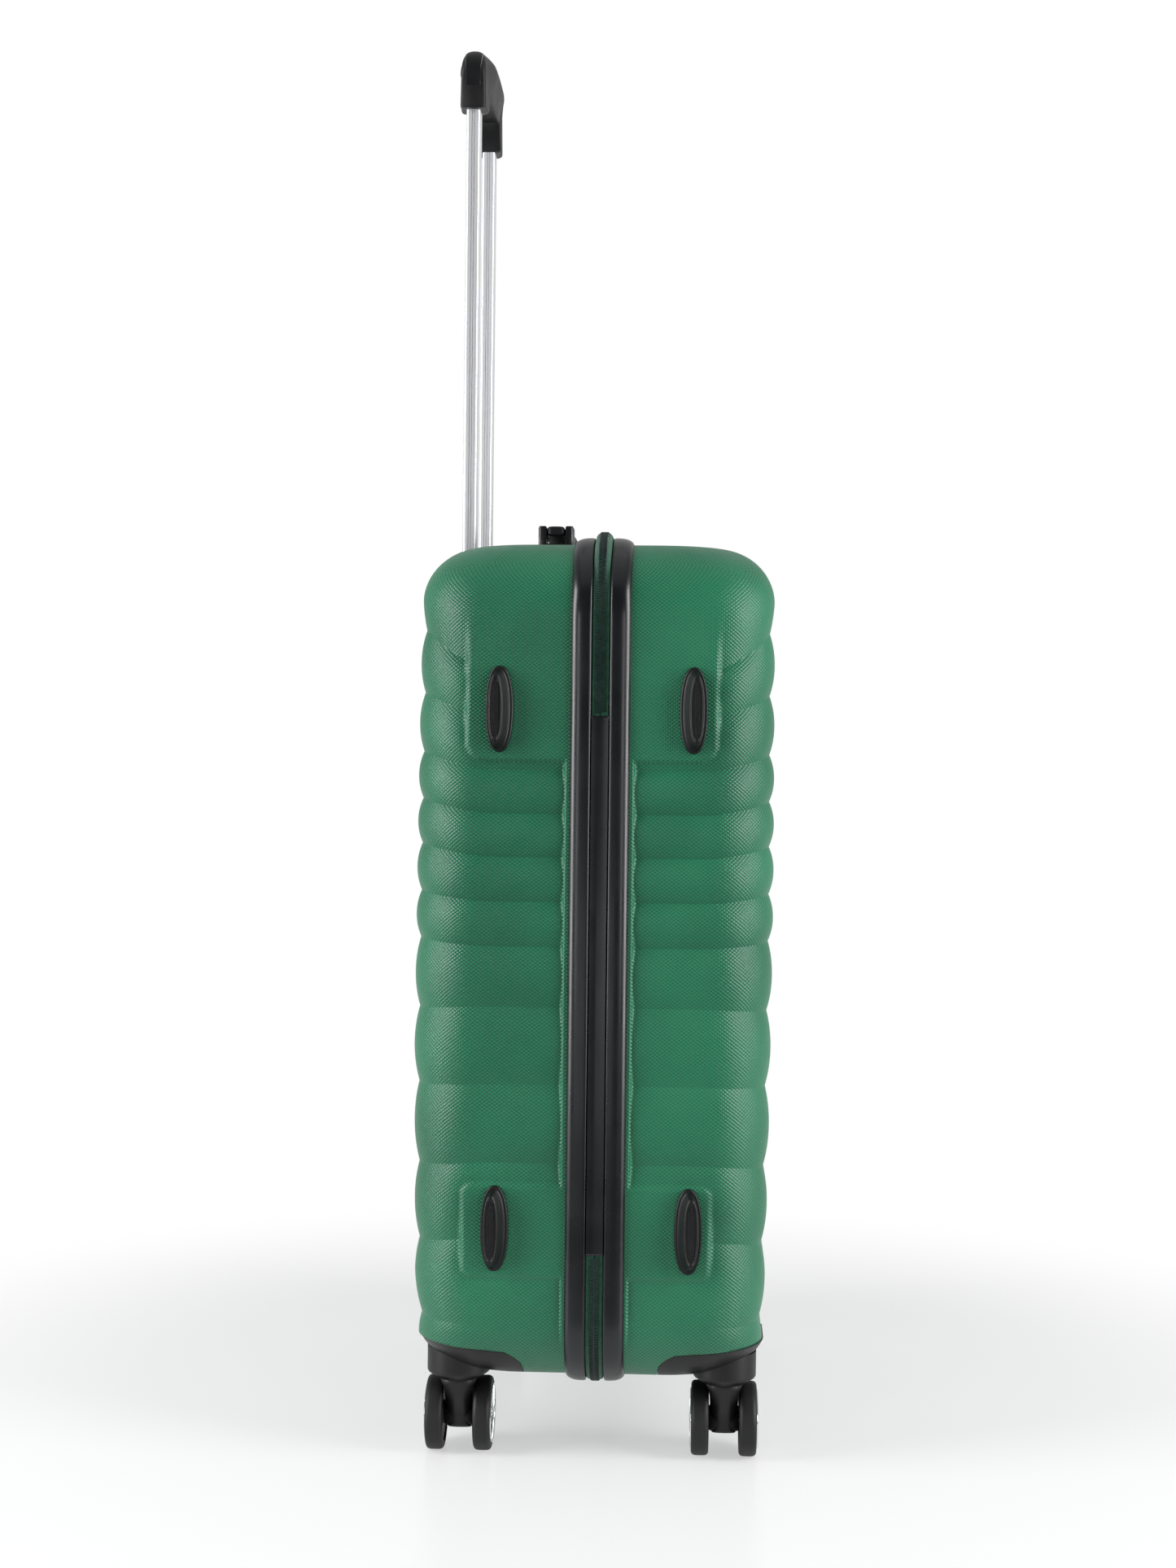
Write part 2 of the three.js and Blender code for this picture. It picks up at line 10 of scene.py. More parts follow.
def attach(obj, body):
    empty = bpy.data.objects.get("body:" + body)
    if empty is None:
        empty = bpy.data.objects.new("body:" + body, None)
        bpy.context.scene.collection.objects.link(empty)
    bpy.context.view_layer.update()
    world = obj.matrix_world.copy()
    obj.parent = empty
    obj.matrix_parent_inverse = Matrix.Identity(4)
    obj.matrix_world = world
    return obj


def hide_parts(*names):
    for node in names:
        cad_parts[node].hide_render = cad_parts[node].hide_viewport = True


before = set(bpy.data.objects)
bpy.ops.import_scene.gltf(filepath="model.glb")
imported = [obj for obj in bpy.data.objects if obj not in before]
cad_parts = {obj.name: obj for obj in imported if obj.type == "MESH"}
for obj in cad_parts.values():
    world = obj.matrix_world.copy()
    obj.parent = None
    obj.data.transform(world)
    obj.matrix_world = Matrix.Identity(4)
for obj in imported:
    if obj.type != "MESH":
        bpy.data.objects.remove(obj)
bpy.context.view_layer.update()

MM = 0.001
HALF_W, Z_LOW, Z_TOP = 215.0, 62.0, 667.0
DEPTH = {"back": 132.0, "front": 125.0}
CORNER_R, BOTTOM_R, EDGE_R, SEAM, FLANGE = 58.0, 49.0, 44.0, 6.5, 22.6
RIB_DEPTH, STEP_DEPTH, FOOT_EDGE_R = 3.6, 1.9, 26.0
# Grooves between ribs: height on the big face, height on the side wall, depth left on the side wall
GROOVES = [(106.2, 106.2, 0.15), (161.2, 168, 1), (216.7, 222, 1), (275.1, 278.2, 0.8), (329.9, 334.0, 0.8),
           (380.4, 376.9, 1), (414.3, 408.8, 1), (448.7, 440.6, 1), (481.3, 471.6, 1), (515.1, 502.6, 1),
           (557.7, 541, 1), (602.7, 573, 1)]
SIGN = {"back": 1, "front": -1}
PANEL_EDGE = {"back": 93.8, "front": 83.5}
# Crown of the big face beyond its depth, by height
CROWN = {"back": [(84, -1.9), (111, -0.8), (138, 1.0), (300, 2.8), (434, 1.9), (540, 0.9), (620, -0.4)],
         "front": [(84, -4.1), (138, -2.5), (246, -0.9), (380, 0.2), (434, 0.2), (540, -0.5), (620, -1.0)]}
CORNERS = [(w, s) for w in ("back", "front") for s in ("left", "right")]
# Foot panels, the level parts of the side wall: middle height, half height, corner radius
UPPER_PANEL, LOWER_PANEL = (810.5, 300, 13), (173.5, 32.5, 7)
# How far the outermost grooves fade out beyond their middle, and how sharply a rib rounds over
FADE_BELOW, FADE_ABOVE, RIB_CURVE = 20, 30, 2.1
SHELL_WALL, HOUSING_WALL, LINING_WALL = 1.4, 2.8, 0.8
CARVE_MARGIN = 0.004
AXIS_X, AXIS_Y, TRAIL, WHEEL_R = 168.0, {"back": 100.5, "front": -94.0}, 12.0, 27.0
HOUSING_TOP, HOUSING_Y = 86.0, {"back": 52.0, "front": -45.5}
TUBE_X, TUBE_Y, TUBE_LOW, TUBE_HIGH = 68.0, 107.6, 473, 1020
GRIP_LOW, GRIP_R, SHOULDER, GRIP_END = 1005.5, 15.0, 12.5, 81
# Ends of the hinge strip, and ends of the zipper just beyond them
STRIP_LOW, STRIP_HIGH, ZIP_LOW, ZIP_HIGH = 158.4, 541.5, 158.1, 541.8
TOOTH_PITCH, TOOTH_LEAN = 1.72, 0.16
CARRY_Y = 39.1
LOCK_X, LOCK_Y, DIAL_HEIGHTS = 221.3, 35, (531.0, 540.0, 549.0)
STRAP_TILT, STRAP_MIDDLE, STRAP_REACH, STRAP_PATCH = 0.85, 365, 165, 151
# Noise values between which colour and roughness change
NOISE_LOW, NOISE_HIGH = 0.3, 0.7
FOCAL_PX, IMAGE_H, SENSOR = 2942, 1927, 36


# ---------- materials ----------

def lin(r, g, b):
    """Linear colour from an 8 bit sRGB one."""
    return tuple((c / 12.92 if c <= 0.04045 else ((c + 0.055) / 1.055) ** 2.4) for c in
                 (r / 255, g / 255, b / 255)) + (1.0,)


def set_range(node, source, target):
    """Fills in a Map Range node: the range it reads and what that becomes."""
    for name, value in zip(("From Min", "From Max", "To Min", "To Max"), (*source, *target)):
        node.inputs[name].default_value = value


class Mat:
    """A Principled material with short helpers for its node tree."""

    def __init__(self, name, color, rough, metal=0.0, coat=0.0, sheen=0.0, spec=0.5):
        self.mat = bpy.data.materials.new(name)
        self.mat.use_nodes = True
        self.nt = self.mat.node_tree
        self.bsdf = self.nt.nodes["Principled BSDF"]
        inputs = self.bsdf.inputs
        inputs["Base Color"].default_value = color
        inputs["Roughness"].default_value = rough
        inputs["Metallic"].default_value = metal
        inputs["Coat Weight"].default_value = coat
        inputs["Coat Roughness"].default_value = 0.08
        inputs["Sheen Weight"].default_value = sheen
        inputs["Specular IOR Level"].default_value = spec
        self.color, self.last_normal = color, None
        self.coord = self.nt.nodes.new("ShaderNodeTexCoord")

    def node(self, kind, **values):
        n = self.nt.nodes.new(kind)
        for key, value in values.items():
            setattr(n, key, value)
        return n

    def link(self, a, b):
        self.nt.links.new(a, b)

    def math(self, op, a, b=None):
        n = self.node("ShaderNodeMath", operation=op)
        for i, v in enumerate((a, b)):
            if v is None:
                continue
            if isinstance(v, (int, float)):
                n.inputs[i].default_value = v
            else:
                self.link(v, n.inputs[i])
        return n.outputs[0]

    def mapped(self, scale):
        """The object's own coordinates, in metres, scaled."""
        m = self.node("ShaderNodeMapping")
        m.inputs["Scale"].default_value = scale
        self.link(self.coord.outputs["Object"], m.inputs["Vector"])
        return m.outputs[0]

    def noise(self, scale, detail, stretch=(1, 1, 1)):
        n = self.node("ShaderNodeTexNoise")
        n.inputs["Scale"].default_value = scale
        n.inputs["Detail"].default_value = detail
        self.link(self.mapped(stretch), n.inputs["Vector"])
        return n.outputs["Fac"]

    def bump(self, height, strength, distance):
        """Adds a bump, distance in metres, on top of those already there."""
        n = self.node("ShaderNodeBump")
        n.inputs["Strength"].default_value = strength
        n.inputs["Distance"].default_value = distance
        self.link(height, n.inputs["Height"])
        if self.last_normal is not None:
            self.link(self.last_normal, n.inputs["Normal"])
        self.last_normal = n.outputs[0]
        self.link(self.last_normal, self.bsdf.inputs["Normal"])
        return self

    def tint(self, fac, dark, light):
        """Varies the base colour between two brightnesses."""
        ramp = self.node("ShaderNodeValToRGB")
        low, high = ramp.color_ramp.elements
        low.position, high.position = NOISE_LOW, NOISE_HIGH
        low.color = tuple(v * dark for v in self.color[:3]) + (1,)
        high.color = tuple(min(v * light, 1) for v in self.color[:3]) + (1,)
        self.link(fac, ramp.inputs[0])
        self.link(ramp.outputs[0], self.bsdf.inputs["Base Color"])
        return self

    def roughen(self, fac, low, high):
        """Varies the roughness between two values."""
        r = self.node("ShaderNodeMapRange")
        set_range(r, (NOISE_LOW, NOISE_HIGH), (low, high))
        self.link(fac, r.inputs["Value"])
        self.link(r.outputs[0], self.bsdf.inputs["Roughness"])
        return self

    def weave(self, pitch, lean=0.0, diamond=None):
        """Crossed sine waves of that pitch in metres, as a height between -1 and 1: squares, or diamonds."""
        sep = self.node("ShaderNodeSeparateXYZ")
        self.link(self.coord.outputs["UV"], sep.inputs[0])
        k = 2 * math.pi / pitch
        u, v = sep.outputs[0], sep.outputs[1]
        if diamond:
            a = self.math("SINE", self.math("MULTIPLY", u, k))
            b = self.math("SINE", self.math("MULTIPLY", v, k * diamond))
            return self.math("MULTIPLY", a, b)
        rising = self.math("ADD", u, self.math("MULTIPLY", v, 1 + lean))
        falling = self.math("SUBTRACT", u, self.math("MULTIPLY", v, 1 - lean))
        a = self.math("SINE", self.math("MULTIPLY", rising, k))
        b = self.math("SINE", self.math("MULTIPLY", falling, k))
        return self.math("MULTIPLY", a, b)


def make_materials():
    m = {}
    g = Mat("green_shell", lin(26, 102, 72), 0.36, spec=0.5)
    emboss = g.weave(0.0034, diamond=1.3)
    g.bump(emboss, 1.0, 0.00016).bump(g.noise(700, 2), 0.1, 0.0001)
    # The colour also follows the emboss's height: painted shade in its dips and painted highlight on its
    # crowns, on top of the noise.
    g.tint(g.math("ADD", g.math("MULTIPLY", emboss, 0.4), g.noise(9, 4)), 0.7, 1.35)
    g.roughen(g.noise(60, 3), 0.34, 0.42)
    m["green"] = g.mat

    k = Mat("gloss_black", lin(15, 17, 20), 0.27, coat=0.1)
    k.bump(k.noise(45, 2), 0.02, 0.0004).roughen(k.noise(25, 5), 0.23, 0.34).tint(k.noise(14, 3), 0.8, 1.25)
    m["gloss"] = k.mat

    s = Mat("satin_black", lin(14, 14, 16), 0.4, spec=0.4)
    s.bump(s.noise(1500, 2), 0.16, 0.00015).roughen(s.noise(40, 4), 0.36, 0.5).tint(s.noise(20, 3), 0.8, 1.25)
    m["satin"] = s.mat

    t = Mat("tyre", lin(17, 17, 19), 0.52, spec=0.4)
    t.bump(t.noise(900, 3), 0.2, 0.0002).roughen(t.noise(60, 4), 0.46, 0.62).tint(t.noise(50, 4), 0.75, 1.35)
    m["tyre"] = t.mat

    h = Mat("chrome", lin(226, 227, 229), 0.12, metal=1.0)
    h.bump(h.noise(300, 2), 0.05, 0.0002).roughen(h.noise(120, 3), 0.08, 0.2)
    m["chrome"] = h.mat

    a = Mat("tube_aluminium", lin(222, 223, 226), 0.28, metal=0.45)
    lines = a.noise(1400, 2, (1, 1, 0.01))
    a.bump(lines, 0.04, 0.0001).roughen(lines, 0.26, 0.32).tint(a.noise(300, 2, (1, 1, 0.01)), 0.95, 1.03)
    m["aluminium"] = a.mat

    z = Mat("zipper_tape", lin(36, 96, 72), 0.8, sheen=0.25)
    rib = z.weave(0.0011)
    z.bump(rib, 0.6, 0.0003).bump(z.noise(2500, 2), 0.25, 0.0002)
    # The colour also follows the weave's height: painted shade in its dips and painted highlight on its crowns,
    # on top of the noise.
    z.tint(z.math("ADD", z.math("MULTIPLY", rib, 0.25), z.noise(200, 3)), 0.7, 1.2)
    m["tape"] = z.mat

    c = Mat("zipper_coil", lin(18, 38, 34), 0.32)
    c.bump(c.noise(900, 2), 0.1, 0.0001).tint(c.noise(120, 3), 0.7, 1.3).roughen(c.noise(90, 2), 0.28, 0.45)
    m["coil"] = c.mat

    f = Mat("lining_cloth", lin(84, 86, 90), 0.9, sheen=0.3)
    cross = f.weave(0.0012)
    f.bump(cross, 0.5, 0.0003).bump(f.noise(14, 4), 0.35, 0.006)
    # The colour also follows the weave's height: painted shade in its dips and painted highlight on its crowns,
    # on top of the noise.
    f.tint(f.math("ADD", f.math("MULTIPLY", cross, 0.3), f.noise(6, 5)), 0.75, 1.2)
    f.roughen(f.noise(30, 3), 0.82, 0.97)
    m["cloth"] = f.mat

    w = Mat("strap_webbing", lin(26, 27, 29), 0.8, sheen=0.3)
    band = w.weave(0.0018, lean=0.4)
    # The colour also follows the weave's height: painted shade in its dips and painted highlight on its crowns,
    # on top of the noise.
    w.bump(band, 0.7, 0.0005).tint(w.math("ADD", w.math("MULTIPLY", band, 0.3), w.noise(40, 3)), 0.7, 1.4)
    w.roughen(w.noise(70, 3), 0.72, 0.9)
    m["webbing"] = w.mat

    r = Mat("soft_grip", lin(12, 13, 15), 0.38, spec=0.35)
    r.bump(r.noise(1100, 3), 0.3, 0.0003).roughen(r.noise(50, 3), 0.36, 0.48).tint(r.noise(24, 3), 0.8, 1.3)
    m["soft"] = r.mat

    e = Mat("steel", lin(176, 178, 181), 0.3, metal=1.0)
    e.bump(e.noise(900, 2), 0.1, 0.0001).roughen(e.noise(90, 3), 0.22, 0.4)
    m["steel"] = e.mat

    n = Mat("dial_marks", lin(225, 225, 222), 0.5)
    n.tint(n.noise(300, 2), 0.9, 1.0)
    m["marks"] = n.mat
    return m


M = make_materials()


# ---------- mesh helpers ----------

def mesh_from(name, verts, faces, mat, uv=None, sharp=38.0):
    """Mesh from points in millimetres. uv holds one millimetre pair per vertex, kept in metres."""
    me = bpy.data.meshes.new(name)
    me.from_pydata((np.asarray(verts, float) * MM).tolist(), [], [list(map(int, f)) for f in faces])
    me.validate()
    if uv is not None:
        loops = np.zeros(len(me.loops), np.int64)
        me.loops.foreach_get("vertex_index", loops)
        layer = me.uv_layers.new(name="UVMap")
        layer.data.foreach_set("uv", (np.asarray(uv, float)[loops] * MM).astype(np.float32).ravel())
    bm = bmesh.new()
    bm.from_mesh(me)
    bmesh.ops.recalc_face_normals(bm, faces=bm.faces)
    bm.to_mesh(me)
    bm.free()
    me.materials.append(M[mat])
    me.shade_smooth()
    me.set_sharp_from_angle(angle=math.radians(sharp))
    return me


def place(name, me, body, nodes=(), at=(0, 0, 0), turn=0.0):
    """Object for a mesh, riding on a body and standing for the CAD nodes named. at is in millimetres."""
    ob = bpy.data.objects.new(name, me)
    bpy.context.scene.collection.objects.link(ob)
    ob.matrix_world = Matrix.Translation(Vector(at) * MM) @ Matrix.Rotation(turn, 4, "Z")
    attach(ob, body)
    if nodes:
        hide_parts(*nodes)
    return ob


def piece(name, geo, mat, body, nodes=(), uv=None, sharp=38.0):
    """Object straight from (vertices, faces)."""
    return place(name, mesh_from(name, *geo, mat, uv, sharp), body, nodes)


def loft(rings, closed=False):
    """Vertices and faces of a skin over closed rows of points, capped unless the rows close on themselves."""
    rings = [np.asarray(r, float) for r in rings]
    n, count = len(rings[0]), len(rings)
    faces = []
    for i in range(count if closed else count - 1):
        a, b = i * n, ((i + 1) % count) * n
        faces += [(a + j, a + (j + 1) % n, b + (j + 1) % n, b + j) for j in range(n)]
    if not closed:
        faces += [tuple(range(n))[::-1], tuple(range((count - 1) * n, count * n))]
    return np.concatenate(rings), faces


def merge(*parts):
    """Several (vertices, faces) as one."""
    verts, faces, base = [], [], 0
    for v, f in parts:
        verts.append(np.asarray(v, float))
        faces += [tuple(i + base for i in face) for face in f]
        base += len(v)
    return np.concatenate(verts), faces


def ring(hu, hv, power, n):
    """Closed superellipse outline, as n by 2 points."""
    a = np.linspace(0, 2 * math.pi, n, endpoint=False)
    c, s = np.cos(a), np.sin(a)
    u = hu * np.sign(c) * np.abs(c) ** (2 / power)
    v = hv * np.sign(s) * np.abs(s) ** (2 / power)
    return np.stack([u, v], 1)


def rounded(hu, hv, r, steps=6):
    """Closed rounded rectangle outline."""
    out = []
    for q, (su, sv) in enumerate(((1, 1), (-1, 1), (-1, -1), (1, -1))):
        for i in range(steps + 1):
            a = (q + i / steps) * math.pi / 2
            out.append((su * (hu - r) + r * math.cos(a), sv * (hv - r) + r * math.sin(a)))
    return np.array(out)


def lathe(profile, segments, axis="y"):
    """Turned solid from (radius, height) pairs that close on themselves."""
    rows = []
    for i in range(segments):
        a = 2 * math.pi * i / segments
        c, s = math.cos(a), math.sin(a)
        rows.append([(r * c, h, r * s) if axis == "y" else (r * c, r * s, h) for r, h in profile])
    return loft(rows, closed=True)


def stack(levels, to_point):
    """Skin through outlines: levels hold (outline, height), to_point(u, v, h) gives the point."""
    return loft([[to_point(u, v, h) for u, v in outline] for outline, h in levels])


def smooth(x):
    """Smooth step from 0 to 1."""
    x = np.clip(x, 0, 1)
    return x * x * (3 - 2 * x)


def refine(ob, width, segments=3, limit=35):
    """Rounded edges on a piece or a CAD node."""
    mod = ob.modifiers.new("edges", "BEVEL")
    mod.width, mod.segments, mod.limit_method = width * MM, segments, "ANGLE"
    mod.angle_limit, mod.harden_normals = math.radians(limit), True
    ob.data.shade_smooth()
    return ob


# ---------- shells ----------

def bulge(which, z):
    """How far the big face crowns beyond its flat depth."""
    return np.interp(z, *zip(*CROWN[which]))


def groove_depth(rho):
    """Depth 0..1 of the grooves at each face height, and the share of it left on the side wall."""
    face = np.array([g[0] for g in GROOVES])
    left = np.array([g[2] for g in GROOVES])
    depth, wall = np.zeros_like(rho), np.ones_like(rho)
    for i, z in enumerate(rho):
        k = np.searchsorted(face, z)
        if k == 0:
            depth[i], wall[i] = max(0.0, 1 - (face[0] - z) / FADE_BELOW) ** 2, left[0]
        elif k == len(face):
            depth[i] = max(0.0, 1 - (z - face[-1]) / FADE_ABOVE) ** 2
        else:
            t = (z - face[k - 1]) / (face[k] - face[k - 1])
            depth[i] = abs(2 * t - 1) ** RIB_CURVE
            wall[i] = left[k - 1] if t < 0.5 else left[k]
    return depth, wall


def proud_distance(which, y, z):
    """Distance outside the level parts of the side wall: the flange and the two foot panels."""
    edge = PANEL_EDGE[which]

    def outside(cy, cz, hy, hz, r):
        qy, qz = np.abs(y - cy) - (hy - r), np.abs(z - cz) - (hz - r)
        return np.hypot(qy.clip(0), qz.clip(0)) + np.minimum(np.maximum(qy, qz), 0) - r

    flange = y - FLANGE - 0.9
    upper = outside(0, UPPER_PANEL[0], edge, *UPPER_PANEL[1:])
    lower = outside(edge / 2, LOWER_PANEL[0], edge / 2, *LOWER_PANEL[1:])
    return np.minimum(np.minimum(flange, upper), lower).clip(0)


def row_heights(low, top, corner, ribs):
    """Heights of the grid's rows on the big face, closer together at the corners and the grooves."""
    angles = np.radians(np.arange(0, 91, 3.0 if ribs else 6.0))
    rows = [low + corner - corner * np.sin(angles), top - corner + corner * np.sin(angles),
            np.arange(low + corner, top - corner, 1.5 if ribs else 12)]
    if ribs:
        rows += [np.array([g[0] + o for g in GROOVES for o in (-0.5, 0, 0.5)])]
    rows = np.unique(np.round(np.concatenate(rows), 2))
    return rows[np.concatenate([[True], np.diff(rows) > 0.02])]


def relief(which, rows, reach, Z, share):
    """How far the ribs and the edges of the foot panels lie below the smooth skin."""
    dist = proud_distance(which, reach[None, :], Z)
    g, wall = groove_depth(rows)
    left = wall[:, None] * (1 - share) + share
    rib = RIB_DEPTH * g[:, None] * left * smooth(dist / 3)
    fade = (1 - smooth((Z - 545) / 45)) * (1 - smooth((reach[None, :] - 104) / 20)) * smooth((Z - 88) / 20)
    step = STEP_DEPTH * np.exp(-dist / 7) * smooth(dist / 1.3) * fade
    return rib + step * (1 - g[:, None] * 0.5)


def shell_grid(which, ribs=True, rows=None, inset=0.0, mouth=SEAM, depth=None, edge=EDGE_R, low=Z_LOW):
    """Skin of one shell as rows of points from the +X mouth round to the -X mouth, with uv in mm."""
    depth = (DEPTH[which] if depth is None else depth) - inset
    half_w, corner, edge = HALF_W - inset, CORNER_R - inset, edge - inset
    low, top = low + inset, Z_TOP - inset
    if rows is None:
        rows = row_heights(low, top, corner, ribs)
    # columns: the side wall, the arc over the edge, and half of the big face
    flat = (DEPTH[which] if ribs else depth) - edge
    if ribs:
        wall_y = np.concatenate([[mouth, 12, 18, 20.5], np.arange(21.4, 29, 0.6),
                                 np.linspace(30, flat - 1.2, 40)])
    else:
        wall_y = np.linspace(mouth, flat - 2, 8)
    arc = np.radians(np.linspace(0, 90, 40 if ribs else 13))
    frac = np.linspace(0, 1, 8)[1:]
    reach = np.concatenate([wall_y, flat + edge * arc, flat + edge * math.pi / 2 + (half_w - edge) * frac])
    nw, na = len(wall_y), len(arc)
    # heights shift along a row from the side wall's grooves to the big face's
    share = smooth((reach - 70) / 84)
    side_z = rows
    if ribs:
        knots = [[low] + [g[i] for g in GROOVES] + [top] for i in (0, 1)]
        side_z = np.interp(rows, *knots)
    Z = side_z[:, None] * (1 - share) + rows[:, None] * share

    def shrink(r, foot):
        """How much a corner of radius r above and foot below takes off, and how upright the skin is there."""
        up, down = (Z - (top - r)).clip(0, r), (low + foot - Z).clip(0, foot)
        cut = r - np.sqrt(r * r - up * up) + foot - np.sqrt(foot * foot - down * down)
        return cut, np.sqrt(np.maximum(0, 1 - (up / r) ** 2 - (down / foot) ** 2))

    w_cut, upright = shrink(corner, BOTTOM_R - inset)
    d_cut = shrink(edge, FOOT_EDGE_R if ribs else edge)[0]
    W = half_w - w_cut
    D = depth - d_cut + (bulge(which, Z) if ribs else 0)
    scale = (D - edge - mouth) / (depth - edge - mouth)
    wall, over, face = slice(0, nw), slice(nw, nw + na), slice(nw + na, None)
    X, Y = np.zeros_like(Z), np.zeros_like(Z)
    X[:, wall] = W[:, wall]
    Y[:, wall] = mouth + (wall_y - mouth) * scale[:, wall]
    X[:, over] = W[:, over] - edge + edge * np.cos(arc)
    Y[:, over] = D[:, over] - edge + edge * np.sin(arc)
    X[:, face] = (W[:, face] - edge) * (1 - frac)
    Y[:, face] = D[:, face]
    if ribs:
        nx = np.concatenate([np.ones(nw), np.cos(arc), np.zeros(len(frac))])
        ny = np.concatenate([np.zeros(nw), np.sin(arc), np.ones(len(frac))])
        move = relief(which, rows, reach, Z, share) * upright
        X, Y = X - nx * move, Y - ny * move
    half = np.stack([X, SIGN[which] * Y, Z], -1)
    other = half[:, -2::-1] * np.array([-1, 1, 1])
    grid = np.concatenate([half, other], 1)
    u = np.concatenate([reach[-1] - reach, reach[-2::-1] - reach[-1]])
    uv = np.stack([np.broadcast_to(u, grid.shape[:2]), grid[..., 2]], -1)
    return grid, uv


def grid_faces(rows, cols, caps=True):
    """Quads over a grid of points, with its first and last row closed if caps is set."""
    idx = np.arange(rows * cols).reshape(rows, cols)
    quads = np.stack([idx[:-1, :-1], idx[:-1, 1:], idx[1:, 1:], idx[1:, :-1]], -1).reshape(-1, 4).tolist()
    if caps:
        quads += [idx[0].tolist()[::-1], idx[-1].tolist()]
    return quads


def carve(me, planes, keep_inside=False):
    """Cuts a mesh along planes [(point, outward normal)] and drops what is inside them all, or what isn't."""
    bm = bmesh.new()
    bm.from_mesh(me)
    pts = [(Vector(p) * MM, Vector(n).normalized()) for p, n in planes]

    def touches(face):
        return all(min((v.co - q).dot(m) for v in face.verts) < CARVE_MARGIN for q, m in pts)

    for p, n in pts:
        near = [f for f in bm.faces if touches(f)]
        geom = set(near) | {e for f in near for e in f.edges} | {v for f in near for v in f.verts}
        bmesh.ops.bisect_plane(bm, geom=list(geom), plane_co=p, plane_no=n, dist=1e-6)
    inside = [all((f.calc_center_median() - p).dot(n) < 0 for p, n in pts) for f in bm.faces]
    drop = [f for f, hit in zip(bm.faces, inside) if hit != keep_inside]
    bmesh.ops.delete(bm, geom=drop, context="FACES")
    bm.to_mesh(me)
    bm.free()


def corner_planes(which, sx, grow=0.0):
    """Planes round one wheel housing's share of the shell, grown outwards by grow."""
    s, y, top = SIGN[which], HOUSING_Y[which] - SIGN[which] * grow, HOUSING_TOP + grow
    outline = [(0, 30), (0, 70), (1.5, 76), (6, 81), (13, top - 1.2), (100, top + 6)]
    planes = [((sx * (128 - grow), 0, 0), (-sx, 0, 0))]
    for (u0, v0), (u1, v1) in zip(outline, outline[1:]):
        planes.append(((0, y + s * u0, v0), (0, -s * (v1 - v0), (u1 - u0))))
    return planes


def thicken(ob, depth):
    """Gives a skin its wall, inwards."""
    mod = ob.modifiers.new("wall", "SOLIDIFY")
    mod.thickness, mod.offset = depth * MM, -1
    return ob


def level_uv(me):
    """Faces lying nearly level take their pattern from above, so that it isn't stretched there."""
    loops, n = np.zeros(len(me.loops), np.int64), len(me.polygons)
    me.loops.foreach_get("vertex_index", loops)
    normals, totals = np.zeros(n * 3, np.float32), np.zeros(n, np.int64)
    me.polygons.foreach_get("normal", normals)
    me.polygons.foreach_get("loop_total", totals)
    level = np.repeat(np.abs(normals.reshape(-1, 3)[:, 2]) > 0.72, totals)
    co = np.zeros(len(me.vertices) * 3, np.float32)
    me.vertices.foreach_get("co", co)
    uv = np.zeros(len(loops) * 2, np.float32)
    data = me.uv_layers[0].data
    data.foreach_get("uv", uv)
    uv = np.where(level[:, None], co.reshape(-1, 3)[loops][:, :2], uv.reshape(-1, 2))
    data.foreach_set("uv", uv.astype(np.float32).ravel())


def bezel_planes():
    """Planes of the well in the back shell that the pull handle comes out of, with its corners cut."""
    hx, cy, hy, chamfer, floor = 88.4, 107.5, 15.4, 1.6, 630
    planes = [((hx, 0, 0), (1, 0, 0)), ((-hx, 0, 0), (-1, 0, 0)), ((0, cy + hy, 0), (0, 1, 0)),
              ((0, cy - hy, 0), (0, -1, 0)), ((0, 0, floor), (0, 0, -1))]
    for sx in (1, -1):
        for sy in (1, -1):
            planes.append(((sx * (hx - chamfer), cy + sy * (hy - chamfer), 0), (sx, sy, 0)))
    return planes


def make_shells():
    for which in ("back", "front"):
        grid, uv = shell_grid(which)
        name = f"{which}_shell_skin"
        faces = grid_faces(*grid.shape[:2])
        me = mesh_from(name, grid.reshape(-1, 3), faces, "green", uv.reshape(-1, 2), sharp=60)
        level_uv(me)
        for sx in (1, -1):
            carve(me, corner_planes(which, sx, 0.4))
        if which == "back":
            carve(me, bezel_planes())
        me.set_sharp_from_angle(angle=math.radians(60))
        thicken(place(name, me, f"{which}_case", [f"{which}_shell"]), SHELL_WALL)


# ---------- rims, hinge strip and zipper ----------

def mouth_path(steps=26, run=40):
    """Points [x, z, nx, nz, length so far] once round the mouth, from the middle of the -X side upwards."""
    cz, top_z, low_z = (Z_LOW + Z_TOP) / 2, Z_TOP - CORNER_R, Z_LOW + BOTTOM_R
    pts = [(-HALF_W, z, -1, 0) for z in np.linspace(cz, top_z, run)[:-1]]
    for sx, start, oz, r, stop in ((-1, 180, top_z, CORNER_R, (HALF_W - CORNER_R, Z_TOP)),
                                   (1, 90, top_z, CORNER_R, (HALF_W, low_z)),
                                   (1, 0, low_z, BOTTOM_R, (BOTTOM_R - HALF_W, Z_LOW)),
                                   (-1, -90, low_z, BOTTOM_R, (-HALF_W, cz))):
        for a in np.radians(np.linspace(start, start - 90, steps)):
            c, s = math.cos(a), math.sin(a)
            pts.append((sx * (HALF_W - r) + r * c, oz + r * s, c, s))
        x, z, nx, nz = pts[-1]
        pts += [(x + (stop[0] - x) * t, z + (stop[1] - z) * t, nx, nz) for t in np.linspace(0, 1, run)[1:-1]]
    pts = np.array(pts)
    seg = np.hypot(*np.diff(pts[:, :2], axis=0).T)
    return np.column_stack([pts, np.concatenate([[0], np.cumsum(seg)])])


